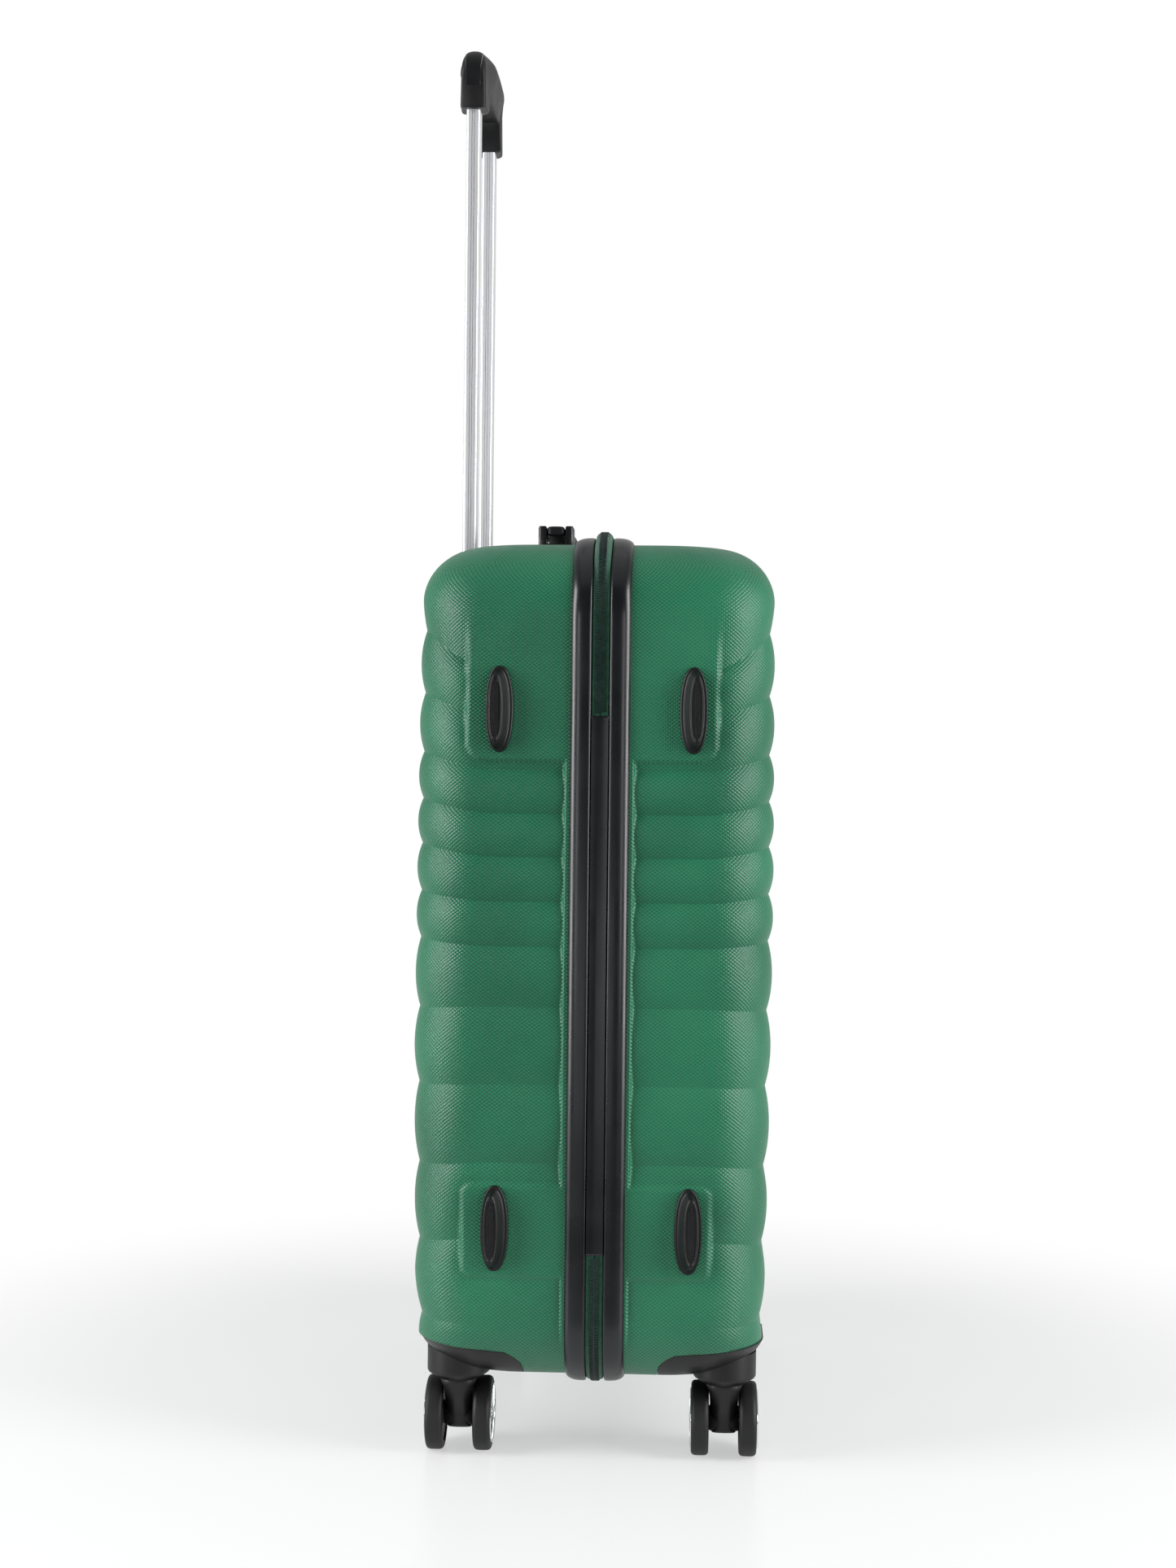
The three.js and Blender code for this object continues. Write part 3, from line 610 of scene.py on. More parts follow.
def sweep(path, profile, closed=False):
    """Skin along the mouth. profile: (out from the wall, y) pairs, or a function of a path row giving them."""
    get = profile if callable(profile) else (lambda row: profile)
    return loft([[(p[0] + p[2] * o, y, p[1] + p[3] * o) for o, y in get(p)] for p in path], closed)


def zip_lift(p):
    """The zipper lies between the rims on the sides and rises over the top, a little under the case."""
    return 1.6 + 6.3 * smooth((p[3] - 0.35) / 0.65) + 2.0 * smooth((-p[3] - 0.5) / 0.5)


def zipper_run(path):
    """The part of the path that the hinge strip leaves to the zipper, with its own lengths."""
    on_strip = (path[:, 0] < 0.1 - HALF_W) & (path[:, 1] > STRIP_LOW) & (path[:, 1] < STRIP_HIGH)
    order = np.roll(np.arange(len(path)), -int(np.argmax(~on_strip)))
    run = path[[i for i in order if not on_strip[i]]]
    start, end = run[0].copy(), run[-1].copy()
    start[1], end[1] = ZIP_HIGH, ZIP_LOW
    run = np.vstack([start, run, end])
    seg = np.hypot(*np.diff(run[:, :2], axis=0).T)
    run[:, 4] = np.concatenate([[0], np.cumsum(seg)])
    return run


def make_mouth():
    path = mouth_path()
    run = zipper_run(path)
    rim = [(0.3, 6.5), (3.6, 6.5), (4.4, 6.8), (4.85, 7.5), (5, 8.6), (5.0, 10.5), (4.9, 12.5), (4.65, 14.5),
           (4.2, 16.5), (3.5, 18.3), (2.5, 19.9), (1.3, 20.9), (0.3, 21.3)]
    # width of the tape's nine strips, for its pattern
    across = [0, 1, 2, 3.4, 4.6, 7.2, 8, 11, 15]

    for which, s in SIGN.items():
        def tape(p):
            h = zip_lift(p)
            outline = ((0.2, 6.25), (h * 0.4 + 0.6, 6.3), (h * 0.75 + 0.6, 5.6), (h + 0.2, 4.4),
                       (h + 0.5, 3.2), (h + 0.5, 0.5), (h - 0.5, 0.4), (h - 0.6, 4.2), (-0.6, 5.6))
            return [(o, s * y) for o, y in outline]

        piece(f"{which}_rim_gloss", sweep(path, [(o, s * y) for o, y in rim], True), "gloss", f"{which}_case",
              [f"{which}_rim"], sharp=50)
        uv = np.stack([np.repeat(run[:, 4], len(across)), np.tile(across, len(run))], 1)
        piece(f"{which}_zipper_tape", sweep(run, tape), "tape", f"{which}_case",
              [f"{which}_zipper_half"], uv=uv)
        make_coil(which, s, run)

    levels = []
    for z in np.concatenate([[STRIP_LOW, 158.9], np.linspace(160, 540, 24), [541, STRIP_HIGH]]):
        inset = 0.5 if z in (STRIP_LOW, STRIP_HIGH) else 0.0
        levels.append([(-HALF_W - o, y, z) for o, y in (
            (3.6, -6.15), (4.5 - inset, -6.15), (4.95 - inset, -5.7), (4.8 - inset, -4.9),
            (4.3 - inset, -2.5), (4.1 - inset, 0), (4.3 - inset, 2.5), (4.8 - inset, 4.9),
            (4.95 - inset, 5.7), (4.5 - inset, 6.15), (3.6, 6.15))])
    piece("hinge_strip_gloss", loft(levels), "gloss", "hinge_strip", ["hinge_strip"], sharp=50)


def make_coil(which, s, run):
    """One half of the coil: leaning rounded teeth that reach just past the seam."""
    at = np.arange(2.0, run[-1, 4] - 2.0, TOOTH_PITCH) + (0 if s > 0 else TOOTH_PITCH / 2)
    cols = [np.interp(at, run[:, 4], run[:, k]) for k in range(4)]
    parts_v, parts_f = [], []
    section = ring(0.6, 0.62, 2.2, 8)
    # (distance from the seam, size, drop): each tooth bends down at both ends
    stations = [(-0.75, 0.55, 0.5), (-0.45, 1.05, 0.1), (0.9, 1.0, 0.0), (2.4, 1.0, 0.05), (3.2, 1.0, 0.45),
                (3.55, 0.8, 1.1)]
    for i in range(len(at)):
        x, z, nx, nz = (c[i] for c in cols)
        n = math.hypot(nx, nz)
        nx, nz = nx / n, nz / n
        tx, tz = nz, -nx
        h = zip_lift((0, 0, nx, nz)) + 1.0
        base = len(parts_v)
        for y, k, drop in stations:
            for u, v in section:
                along, out = u * k + TOOTH_LEAN * (y - 1), h + v * k - drop
                parts_v.append((x + nx * out + tx * along, s * y, z + nz * out + tz * along))
        sides, last = len(section), base + (len(stations) - 1) * len(section)
        for a in range(base, last, sides):
            b = a + sides
            parts_f += [(a + j, a + (j + 1) % sides, b + (j + 1) % sides, b + j) for j in range(sides)]
        parts_f += [tuple(range(base, base + sides))[::-1], tuple(range(last, last + sides))]
    piece(f"{which}_zipper_coil", (parts_v, parts_f), "coil", f"{which}_case")


# ---------- feet on the hinge side ----------

def foot_dots(y, z):
    """Three staggered rows of small studs on a foot's crown."""
    pitch, column = 1.6, 1.45
    dots = []
    for col in (-column, 0, column):
        for k in range(-11, 12):
            if abs(k * pitch) > 19 * math.sqrt(max(0, 1 - (abs(col) / 3.4) ** 2)):
                continue
            zc = z + k * pitch + (pitch / 2 if col == 0 else 0)
            dots.append(loft([[(-HALF_W - 10.35 - h, y + col + r * math.cos(a), zc + r * math.sin(a))
                               for a in np.linspace(0, 2 * math.pi, 8, endpoint=False)]
                              for r, h in ((0.5, 0), (0.42, 0.3), (0.2, 0.45))]))
    return dots


def make_feet():
    # (half long, half wide, height, shift away from the seam)
    levels = [(30.7, 10.0, 0.3, 0), (30.7, 10.0, 1.6, 0), (30.3, 9.6, 2.5, 0), (29.4, 8.8, 2.9, 0.1),
              (28.6, 8.1, 2.7, 0.2), (27.8, 7.5, 3.6, 0.6), (26.6, 6.7, 6.4, 1.3), (25.4, 5.9, 9.0, 2.0),
              (24.4, 5.3, 10.4, 2.2), (23.4, 4.8, 11.0, 2.2), (22.5, 4.3, 11.0, 2.2), (22.1, 4.0, 10.7, 2.2),
              (21.8, 3.8, 10.4, 2.2), (18, 3.1, 10.5, 2.2), (9, 1.6, 10.6, 2.2)]
    crown_shift = levels[-1][3]
    for which, y in (("back", 71.7), ("front", -66.3)):
        s = SIGN[which]
        for label, z in (("lower", 176), ("upper", 546)):
            rings = [[(-HALF_W - h, y + s * o + v, z + u) for u, v in ring(hl, hw, 2.25, 56)]
                     for hl, hw, h, o in levels]
            pad = merge(loft(rings), *foot_dots(y + s * crown_shift, z))
            piece(f"side_foot_{which}_{label}_pad", pad, "soft", f"{which}_case",
                  [f"side_foot_{which}_{label}"], sharp=60)


# ---------- wheels ----------

def hubcap_spokes():
    """Six pairs of crowned spokes."""
    spokes = []
    for k in range(6):
        for lean in (-0.2, 0.2):
            a = k * math.pi / 3
            c0, c1 = a + lean * 0.9, a + lean
            rows = []
            for t, wide in ((0, 1.15), (0.25, 0.8), (0.6, 0.75), (0.85, 0.95), (1, 1.4)):
                r, ang = 4.6 + 14.9 * t, c0 + (c1 - c0) * t
                cx, cz = r * math.cos(ang), r * math.sin(ang)
                nx, nz = -math.sin(ang), math.cos(ang)
                top = 24.5 + 0.5 * math.sin(math.pi * (1 - t) / 2)
                rows.append([(cx + nx * q, h, cz + nz * q) for q, h in
                             ((-wide, 22.7), (-wide, top - 0.5), (-wide * 0.6, top), (wide * 0.6, top),
                              (wide, top - 0.5), (wide, 22.7))])
            spokes.append(loft(rows))
    return spokes


def make_wheels():
    # turned profiles as (radius, distance along the axle), or (radius, height) about the swivel
    tyre = [(21.7, 22.3), (21.7, 23.5), (22.2, 23.95), (23.0, 24.0), (24.6, 23.9), (25.7, 23.4), (26.5, 22.5),
            (26.9, 21.3), (27.0, 19.8), (27.0, 15.2), (26.9, 13.7), (26.5, 12.5), (25.7, 11.6), (24.6, 11.1),
            (21.5, 11.0), (21.0, 11.4), (20.8, 12.2), (9.0, 12.2), (8.6, 11.3), (3.3, 11.2), (3.3, 22.2)]
    tyre_mesh = mesh_from("tyre", *lathe(tyre, 72), "tyre", sharp=32)
    rim = lathe([(18.9, 22.7), (19.1, 23.9), (19.6, 24.5), (20.6, 24.8), (21.3, 24.5), (21.5, 23.7),
                 (21.4, 22.6)], 72)
    hub = lathe([(0.01, 25.3), (2.6, 25.3), (4.2, 25.0), (5.2, 24.3), (5.6, 23.2), (5.6, 22.6),
                 (0.01, 22.6)], 40)
    cap_mesh = mesh_from("hubcap", *merge(rim, hub, *hubcap_spokes()), "chrome", sharp=40)
    well = lathe([(0.01, 22.4), (12, 22.45), (18.9, 22.6), (21.6, 22.6), (21.6, 22.2), (0.01, 22.2)], 48)
    well_mesh = mesh_from("hub_well", *well, "gloss")

    # fork: (height, centre x, half x, half y)
    leg = [(16.6, 12, 3.6, 8.6), (17.6, 12, 6.0, 9.2), (19.5, 12, 7.6, 9.5), (23, 11.9, 9.0, 9.7),
           (27, 11.6, 9.6, 9.8), (31, 10.2, 10.4, 9.9), (36, 7.4, 11.2, 10.1), (41, 4.6, 11.7, 10.3),
           (46, 2.4, 12.0, 10.6), (50, 1.0, 12.3, 11.3), (52.5, 0.4, 12.7, 12.3), (54.4, 0.0, 13.1, 13.1),
           (56.4, 0.0, 13.2, 13.2), (56.9, 0.0, 12.8, 12.8)]
    fork = stack([([(u + cx, v) for u, v in ring(hx, hy, 2.5, 48)], h) for h, cx, hx, hy in leg],
                 lambda u, v, h: (u, v, h))
    drum = lathe([(0.01, -10.9), (8.6, -10.9), (9.2, -10.3), (9.2, 10.3), (8.6, 10.9), (0.01, 10.9)], 40)
    axle = lathe([(0.01, -22), (3.0, -22), (3.0, 22), (0.01, 22)], 24)
    drum, axle = ((verts + np.array([TRAIL, 0, WHEEL_R]), faces) for verts, faces in (drum, axle))
    stem = lathe([(0.01, 56), (5.0, 56), (5.0, 80), (0.01, 80)], 24, "z")
    fork_mesh = mesh_from("fork", *merge(fork, drum, stem), "satin", sharp=45)
    axle_mesh = mesh_from("axle", *axle, "steel")
    boss = lathe([(5.3, 57.2), (15.4, 57.2), (16.4, 57.5), (22.3, 61.6), (22.9, 62.6), (23.0, 64), (23.0, 80.8),
                  (20.4, 80.8), (20.4, 64.5), (9, 64.5), (9, 80.8), (5.3, 80.8)], 72, "z")
    boss_mesh = mesh_from("boss", *boss, "satin", sharp=45)
    for which, side in CORNERS:
        sx = -1 if side == "left" else 1
        at, origin = f"{which}_{side}", (sx * AXIS_X, AXIS_Y[which], 0)
        place(f"fork_{at}", fork_mesh, f"spinner_{at}", [f"spinner_fork_{at}"], origin)
        place(f"axle_{at}", axle_mesh, f"spinner_{at}", (), origin)
        place(f"boss_{at}", boss_mesh, f"{which}_case", (), origin)
        for hand, turn in (("a", math.pi), ("b", 0.0)):
            hub_at = (sx * AXIS_X + TRAIL, AXIS_Y[which], WHEEL_R)
            body = f"wheel_{at}_{hand}"
            place(f"tyre_{at}_{hand}", tyre_mesh, body, [f"wheel_{at}_{hand}"], hub_at, turn)
            place(f"cap_{at}_{hand}", cap_mesh, body, [f"hubcap_{at}_{hand}"], hub_at, turn)
            place(f"well_{at}_{hand}", well_mesh, body, (), hub_at, turn)


def make_housings():
    angles = np.radians(np.arange(14, 91, 2.0))
    rows = np.unique(np.round(Z_LOW + BOTTOM_R - BOTTOM_R * np.sin(angles), 3))
    for which in ("back", "front"):
        grid, uv = shell_grid(which, ribs=False, rows=rows)
        faces = grid_faces(*grid.shape[:2], caps=False) + [list(range(grid.shape[1]))[::-1]]
        for sx, side in ((-1, "left"), (1, "right")):
            name = f"housing_{which}_{side}"
            me = mesh_from(name, grid.reshape(-1, 3), faces, "satin", uv.reshape(-1, 2), sharp=50)
            carve(me, corner_planes(which, sx), keep_inside=True)
            ob = place(name, me, f"{which}_case", [f"wheel_housing_{which}_{side}"])
            thicken(ob, HOUSING_WALL)
            refine(ob, 0.7, 2, 50)


# ---------- pull handle ----------

def tube_outline():
    """Rounded tube section with a double groove down both narrow faces, the ones towards -X and +X."""
    groove = ((-0.4, 0), (-0.2, 0.5), (0.2, 0.5), (0.4, 0))
    grooves = [(c + o, deep) for c in (-0.9, 0.9) for o, deep in groove]
    out = [(9, -3.2)] + [(9 - deep, v) for v, deep in grooves] + [(9, 3.2)]
    r = 2.2
    quarter = [(9 - r + r * math.cos(a), 5.35 - r + r * math.sin(a)) for a in np.linspace(0, math.pi / 2, 6)]
    right = out + quarter[1:]
    left = [(-u, -v) for u, v in out] + [(-u, -v) for u, v in quarter[1:]]
    return right + [(-u, v) for u, v in quarter[1:][::-1]] + left + [(u, -v) for u, v in quarter[1:][::-1]]


def grip_top(x):
    """Height of the grip's crowned top at x and its outward direction there."""
    past = max(0.0, abs(x) - (GRIP_END - GRIP_R))
    crown = 6 * (1 - (x / GRIP_END) ** 2)
    z = 1050 + crown - GRIP_R + math.sqrt(max(0.0, GRIP_R ** 2 - past ** 2))
    nx = past / GRIP_R
    return z, math.copysign(nx, x), math.sqrt(max(0.0, 1 - nx * nx))


def grip_half(x):
    """Half width of the grip at x: rounded ends, fuller in the middle."""
    end = min(1.0, max(0.0, (abs(x) - 76) / 5.02))
    return 9.6 * (0.82 + 0.18 * math.sqrt(1 - end * end)) + 4.8 * smooth((72 - abs(x)) / 40)


def grip_low(x):
    """Height of the grip's underside: open over the hand, lower round the tubes."""
    return GRIP_LOW + 20 * smooth((60 - abs(x)) / 18)


def over_top(offset, half, lift):
    """A strip over the grip's top and down both ends, offset sideways and lifted off the surface."""
    path = []
    bend = GRIP_END - GRIP_R
    round_end = bend + GRIP_R * np.sin(np.radians(np.arange(6, 91, 7)))
    for x in np.concatenate([np.linspace(0, bend, 26), round_end]):
        z, nx, nz = grip_top(x)
        path.append((x, z, nx, nz))
    path += [(GRIP_END, 1029, 1, 0), (GRIP_END, 1023, 1, 0)]
    path = [(-x, z, -nx, nz) for x, z, nx, nz in path[:0:-1]] + path

    cross = [(-0.9, -half)] + [(lift, t * half) for t in np.linspace(-1, 1, 13)] + [(-0.9, half)]
    rows = []
    for x, z, nx, nz in path:
        wide = grip_half(x)
        k = wide / 9.6
        row = []
        for o, across in cross:
            y = (offset + across) * k
            drop = SHOULDER - SHOULDER * (1 - min(1.0, abs(y) / wide) ** 2.5) ** 0.4
            row.append((x + nx * o, TUBE_Y + y, z + nz * o - drop * nz))
        rows.append(row)
    return loft(rows)


def make_trolley():
    for side, sx in (("left", -1), ("right", 1)):
        rows = [[(sx * TUBE_X + u, TUBE_Y + v, z) for u, v in tube_outline()]
                for z in (TUBE_LOW, TUBE_LOW + 1, TUBE_HIGH - 0.5, TUBE_HIGH)]
        piece(f"trolley_tube_{side}_brushed", loft(rows), "aluminium", "trolley",
              [f"trolley_tube_{side}"], sharp=25)

    sections = []
    for x in np.concatenate([[-81, -80.8, -80.2, -79, -77.5, -75.5], np.linspace(-73.5, 73.5, 61),
                             [75.5, 77.5, 79, 80.2, 80.8, 81]]):
        wide, lo, hi = grip_half(x), grip_low(x), grip_top(x)[0]
        # upper half of a tall outline over the lower half of a flat one
        dome = [(u, hi - SHOULDER + v) for u, v in ring(wide, SHOULDER, 2.5, 56)[:29]]
        foot = [(u, lo + 4 + v) for u, v in ring(min(wide * 1.04, 10.4), 4, 5, 56)[28:]]
        sections.append([(x, TUBE_Y + u, z) for u, z in dome + foot])
    piece("trolley_grip_gloss", loft(sections), "satin", "trolley", ["trolley_grip"], sharp=60)

    # soft inlay, edged by two thin bright seams
    piece("trolley_grip_inlay", over_top(0, 6.2, 0.25), "soft", "trolley")
    for name, offset in (("a", -6.5), ("b", 6.5)):
        piece(f"trolley_grip_seam_{name}", over_top(offset, 0.18, 0.35), "steel", "trolley")
    button = [(rounded(22, 3.7, 2, 5), 1048), (rounded(22, 3.7, 2, 5), 1057),
              (rounded(21.5, 3.2, 1.6, 5), 1057.5)]
    piece("trolley_button_cap", stack(button, lambda u, v, h: (u, TUBE_Y + v, h)), "gloss", "trolley_button",
          ["trolley_button"])
    refine(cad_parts["trolley_bezel"], 0.6)


# ---------- carry handles ----------

def make_carry(name, body, to_point, node_base, node_grip):
    """One carry handle; to_point(u, v, h) takes along, across and height off the case to a point."""
    base = rounded(112, 13.2, 5)
    parts = [stack([(base, 0.3), (base, 1.9), (rounded(111.4, 12.6, 4.5), 2.6)], to_point)]
    cheek = ((88, 7.1), (109.4, 7.1), (110, 7.4), (110, 11.5), (109.4, 12.6), (107.8, 13.2), (90, 13.2),
             (88.6, 12.9), (88, 12.1))
    stop = ((104, -7.3), (109.4, -7.3), (109.4, 7.3), (104, 7.3))
    for su in (1, -1):
        for sv in (1, -1):
            outline = [(u * su, v * sv) for u, v in cheek]
            shrink = [(u + (99 * su - u) * 0.05, v + (9.8 * sv - v) * 0.18) for u, v in outline]
            parts.append(stack([(outline, 2.0), (outline, 16.6), (shrink, 18.0)], to_point))
        outline = [(su * u, v) for u, v in stop]
        parts.append(stack([(outline, 2.0), (outline, 5.0)], to_point))
    piece(f"{name}_handle_mounts", merge(*parts), "gloss", body, [node_base])

    rows = []
    for u in np.concatenate([[-109.3, -109, -108], np.linspace(-106, 106, 75), [108, 109, 109.3]]):
        wide = 6.6 + 4.2 * smooth((84 - abs(u)) / 10)
        end = 0.55 if abs(u) > 109.2 else (0.85 if abs(u) > 108.5 else 1.0)
        rows.append([to_point(u, v * end, 14.2 + h * end) for v, h in ring(wide, 3.7, 4.0, 36)])
    piece(f"{name}_handle_strap", loft(rows), "soft", f"{name}_handle", [node_grip], sharp=60)


# ---------- lock, sliders, linings ----------

def make_fittings():
    """Looks and rounded edges for the CAD nodes that stay."""
    for node, mat, width in (("lock_body", "satin", 0.7), ("lock_release_button", "gloss", 0.8),
                             ("trolley_bezel", "satin", 0), ("strap_buckle", "satin", 1.2),
                             ("zipper_slider_upper", "steel", 0.5), ("zipper_slider_lower", "steel", 0.5),
                             ("zipper_puller_upper", "steel", 0.35), ("zipper_puller_lower", "steel", 0.35),
                             ("trolley_foot_bracket", "satin", 1.0), ("trolley_sleeve_left", "aluminium", 0),
                             ("trolley_sleeve_right", "aluminium", 0), ("lock_dial_1", "gloss", 0.4),
                             ("lock_dial_2", "gloss", 0.4), ("lock_dial_3", "gloss", 0.4)):
        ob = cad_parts[node]
        ob.data.materials.clear()
        ob.data.materials.append(M[mat])
        if width:
            refine(ob, width)


def make_linings():
    inset = 6.2
    # depth of the cloth, and its edge radius before the inset
    for which, cloth_depth, edge in (("back", 91, 16 + inset), ("front", 115.6, EDGE_R)):
        grid, uv = shell_grid(which, ribs=False, inset=inset, mouth=SEAM + 1.5, depth=cloth_depth + inset,
                              edge=edge, low=84.5 - inset)
        name = f"{which}_lining_cloth"
        faces = grid_faces(*grid.shape[:2])
        me = mesh_from(name, grid.reshape(-1, 3), faces, "cloth", uv.reshape(-1, 2), sharp=60)
        ob = place(name, me, f"{which}_case", [f"{which}_lining"])
        thicken(ob, LINING_WALL)


def make_straps():
    straps = []
    for tilt in (STRAP_TILT, -STRAP_TILT):
        c, s = math.cos(tilt), math.sin(tilt)
        rows = []
        for u in np.linspace(-STRAP_REACH, STRAP_REACH, 40):
            # one strap passes over the other in the middle
            y = 89.0 + (0.6 if tilt < 0 else 0) * smooth((40 - abs(u)) / 30)
            rows.append([(u * c - v * s, y + o, STRAP_MIDDLE + u * s + v * c)
                         for v, o in ((-12, 0), (-12, 0.8), (12, 0.8), (12, 0))])
        straps.append(loft(rows))
        for end in (-STRAP_PATCH, STRAP_PATCH):
            # doubled end of the strap, sewn down with a raised hem
            patch = []
            for grow, lift in ((0, -0.6), (0, 0.9), (-1.5, 1.5), (-2.2, 1.0), (-9, 1.0)):
                patch.append([((end + u) * c - v * s, 89.4 - lift, STRAP_MIDDLE + (end + u) * s + v * c)
                              for u, v in rounded(16 + grow, 14 + grow, 2.0, 3)])
            straps.append(loft(patch))
    verts, faces = merge(*straps)
    piece("cross_straps_webbing", (verts, faces), "webbing", "back_case", ["cross_straps"],
          uv=verts[:, [0, 2]])


# Strokes of each digit, by the letters of a seven-stroke figure
DIGITS = {0: "abcdef", 1: "bc", 2: "abged", 3: "abgcd", 4: "fgbc", 5: "afgcd", 6: "afgedc", 7: "abc",
          8: "abcdefg", 9: "abfgcd"}


def make_digits():
    """Raised digits around each number wheel, drawn as strokes."""
    # strokes as (across, up, lies flat)
    strokes = {"a": (0, 1, True), "g": (0, 0, True), "d": (0, -1, True), "f": (-1, 0.5, False),
               "b": (1, 0.5, False), "e": (-1, -0.5, False), "c": (1, -0.5, False)}
    for i, z in enumerate(DIAL_HEIGHTS, 1):
        parts = []
        for d in range(10):
            a = 2 * math.pi * (d + i) / 10 + math.pi
            c, s = math.cos(a), math.sin(a)
            for k in DIGITS[d]:
                u, v, flat = strokes[k]
                hu, hv = (0.62, 0.14) if flat else (0.14, 0.55)
                pts = [(0.5 * u + e * hu, v + f * hv) for e, f in ((-1, -1), (1, -1), (1, 1), (-1, 1))]
                parts.append(loft([[(LOCK_X + r * c - p * s, LOCK_Y + r * s + p * c, z + q) for p, q in pts]
                                   for r in (5.0, 5.24)]))
        piece(f"lock_dial_{i}_digits", merge(*parts), "marks", f"lock_dial_{i}")


# ---------- studio ----------

def make_world(scene):
    """Bright behind the case and dark on the camera's side, but plain white where the camera sees it."""
    scene.world = bpy.data.worlds.new("studio")
    scene.world.use_nodes = True
    nt = scene.world.node_tree
    coord, sep = nt.nodes.new("ShaderNodeTexCoord"), nt.nodes.new("ShaderNodeSeparateXYZ")
    nt.links.new(coord.outputs["Generated"], sep.inputs[0])
    ramp = nt.nodes.new("ShaderNodeMapRange")
    set_range(ramp, (-0.7, 0.7), (0.04, 0.55))
    nt.links.new(sep.outputs[0], ramp.inputs["Value"])
    path, mix = nt.nodes.new("ShaderNodeLightPath"), nt.nodes.new("ShaderNodeMix")
    mix.data_type = "FLOAT"
    nt.links.new(path.outputs["Is Camera Ray"], mix.inputs[0])
    nt.links.new(ramp.outputs[0], mix.inputs[2])
    mix.inputs[3].default_value = 1.0
    background = nt.nodes["Background"]
    nt.links.new(mix.outputs[0], background.inputs["Strength"])
    background.inputs["Color"].default_value = (1, 1, 1, 1)


def make_floor(scene):
    """Pale glossy floor that fades into the white round about."""
    f = Mat("floor", (0.9, 0.9, 0.91, 1), 0.32, spec=0.35)
    f.roughen(f.noise(3, 3), 0.14, 0.22).bump(f.noise(60, 2), 0.02, 0.0005)
    spot = f.node("ShaderNodeTexGradient", gradient_type="SPHERICAL")
    glow, blend = f.node("ShaderNodeEmission"), f.node("ShaderNodeMixShader")
    f.link(f.mapped((1.1, 1.1, 1.1)), spot.inputs["Vector"])
    solid = f.node("ShaderNodeMapRange", interpolation_type="SMOOTHSTEP")
    set_range(solid, (0.12, 0.62), (0, 0.5))
    f.link(spot.outputs["Fac"], solid.inputs["Value"])
    f.link(solid.outputs[0], blend.inputs[0])
    f.link(glow.outputs[0], blend.inputs[1])
    f.link(f.bsdf.outputs[0], blend.inputs[2])
    f.link(blend.outputs[0], f.nt.nodes["Material Output"].inputs["Surface"])
    # only the camera sees the full glow; in reflections and bounces the floor in front stays dim
    ray, x_axis = f.node("ShaderNodeLightPath"), f.node("ShaderNodeSeparateXYZ")
    f.link(f.coord.outputs["Object"], x_axis.inputs[0])
    behind = f.node("ShaderNodeMapRange")
    set_range(behind, (-0.7, -0.3), (0.06, 0.8))
    f.link(x_axis.outputs[0], behind.inputs["Value"])
    f.link(f.math("MAXIMUM", ray.outputs["Is Camera Ray"], behind.outputs[0]), glow.inputs["Strength"])

    floor = bpy.data.meshes.new("floor")
    floor.from_pydata([(-8, -8, 0), (8, -8, 0), (8, 8, 0), (-8, 8, 0)], [], [(0, 1, 2, 3)])
    floor.materials.append(f.mat)
    ob = bpy.data.objects.new("floor", floor)
    scene.collection.objects.link(ob)


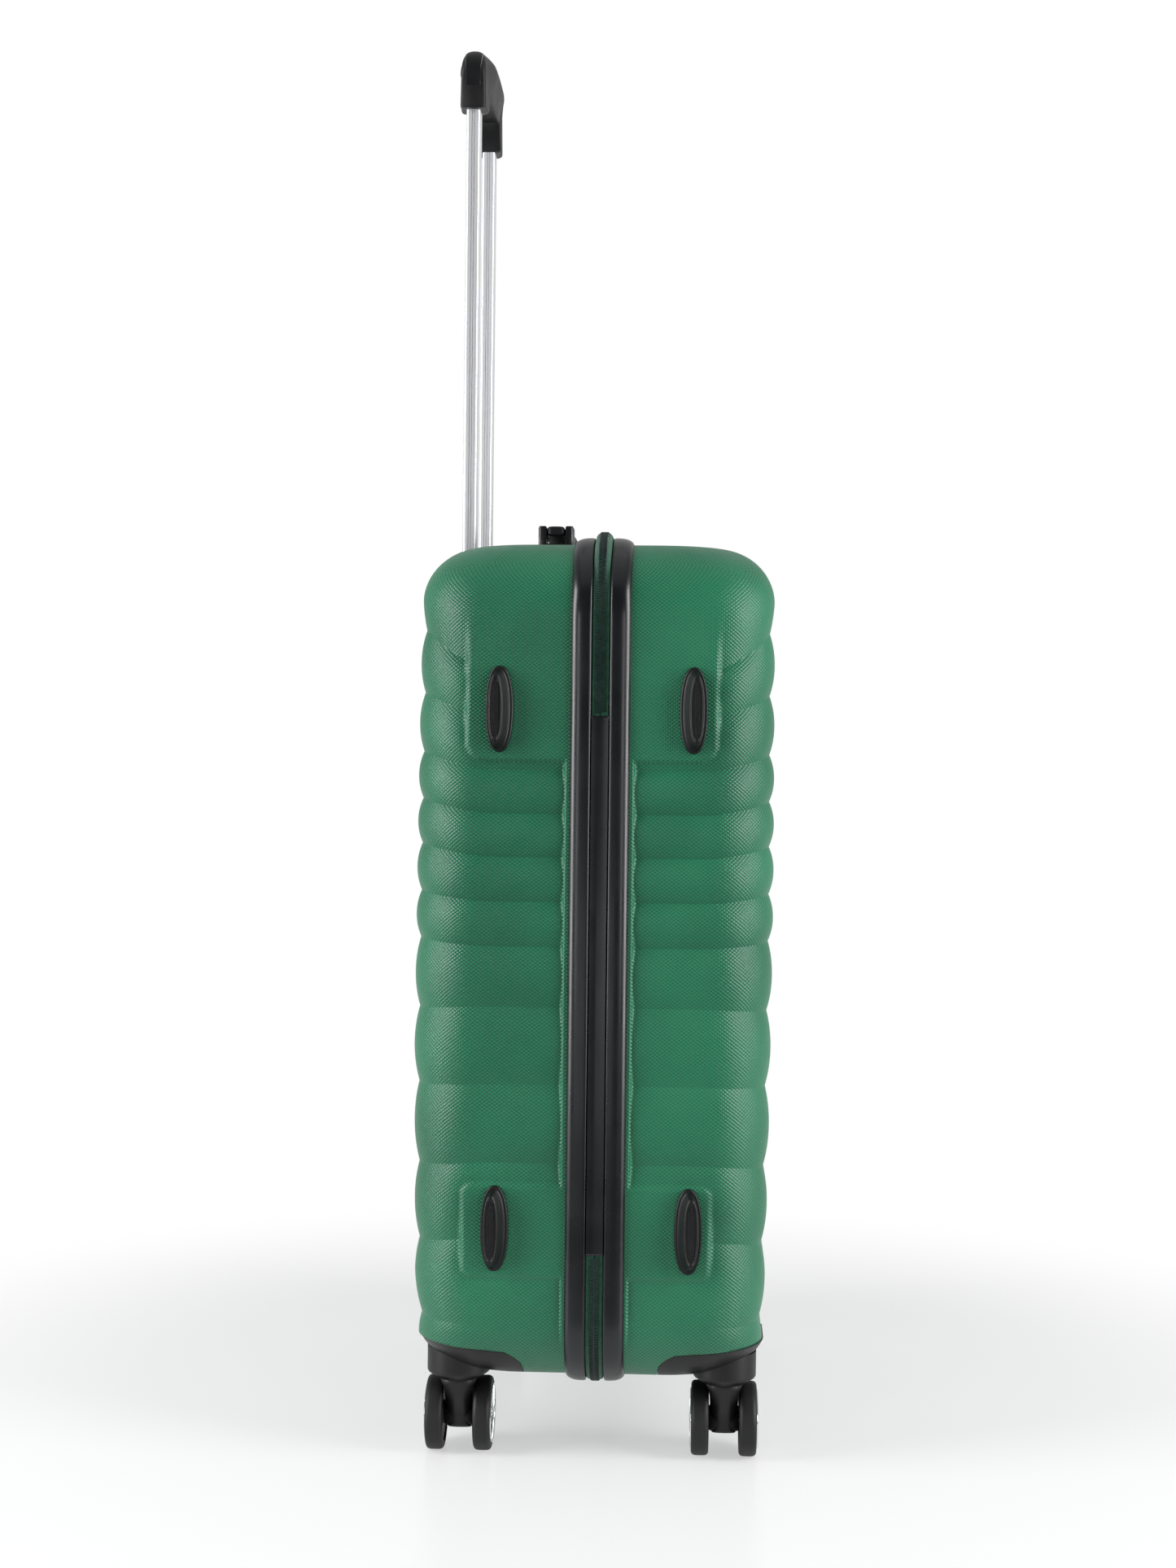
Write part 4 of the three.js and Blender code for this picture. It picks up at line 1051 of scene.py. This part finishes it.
def make_studio():
    scene = bpy.context.scene
    scene.view_settings.view_transform = "Standard"
    make_world(scene)
    make_floor(scene)
    # (name, place, aimed at, size, power), in metres and watts
    for name, at, to, size, power in (
            ("soft_left", (-0.85, 1.65, 0.75), (0, 0, 0.42), (0.8, 2.2), 50),
            ("soft_right", (-0.85, -1.65, 0.75), (0, 0, 0.42), (0.8, 2.2), 50),
            ("soft_top", (-0.4, 0.0, 2.4), (0, 0, 0), (1.6, 2.2), 3),
            ("low_front", (-1.7, 0.3, 0.06), (0, 0, 0.35), (0.9, 0.5), 1.5),
            ("tall_left", (-2.1, 1.15, 0.6), (0, 0, 0.4), (0.35, 1.0), 4),
            ("tall_right", (-2.1, -1.15, 0.6), (0, 0, 0.4), (0.35, 1.0), 4)):
        light = bpy.data.lights.new(name, "AREA")
        light.shape, light.size, light.size_y, light.energy = "RECTANGLE", size[0], size[1], power
        ob = bpy.data.objects.new(name, light)
        ob.location = at
        ob.rotation_euler = (Vector(to) - Vector(at)).to_track_quat("-Z", "Y").to_euler()
        scene.collection.objects.link(ob)


def make_camera():
    """Camera fitted to the outline of the photograph, looking along +X."""
    yaw, pitch, roll = 0.0444, 0.0200, 0.0108
    ahead = Vector((math.cos(yaw), math.sin(yaw), 0))
    right, up = Vector((math.sin(yaw), -math.cos(yaw), 0)), Vector((0, 0, 1))
    view = ahead * math.cos(pitch) - up * math.sin(pitch)
    raised = up * math.cos(pitch) + ahead * math.sin(pitch)
    rolled_right = right * math.cos(roll) + raised * math.sin(roll)
    rolled_up = raised * math.cos(roll) - right * math.sin(roll)
    matrix = Matrix((rolled_right, rolled_up, -view)).transposed().to_4x4()
    matrix.translation = Vector((-1910.6, -67.1, 527.3)) * MM

    cam = bpy.data.cameras.new("camera")
    cam.sensor_fit, cam.sensor_height, cam.lens = "VERTICAL", SENSOR, FOCAL_PX / IMAGE_H * SENSOR
    cam.clip_start, cam.clip_end = 0.05, 50
    ob = bpy.data.objects.new("camera", cam)
    ob.matrix_world = matrix
    bpy.context.scene.collection.objects.link(ob)
    bpy.context.scene.camera = ob


make_camera()
make_studio()
make_shells()
make_mouth()
make_feet()
make_wheels()
make_housings()
make_trolley()
make_carry("top", "back_case", lambda u, v, h: (u, CARRY_Y + v, Z_TOP + h), "top_handle_base",
           "top_handle_grip")
make_carry("side", "back_case", lambda u, v, h: (HALF_W + h, CARRY_Y + v, 345 + u), "side_handle_base",
           "side_handle_grip")
make_fittings()
make_digits()
make_linings()
make_straps()
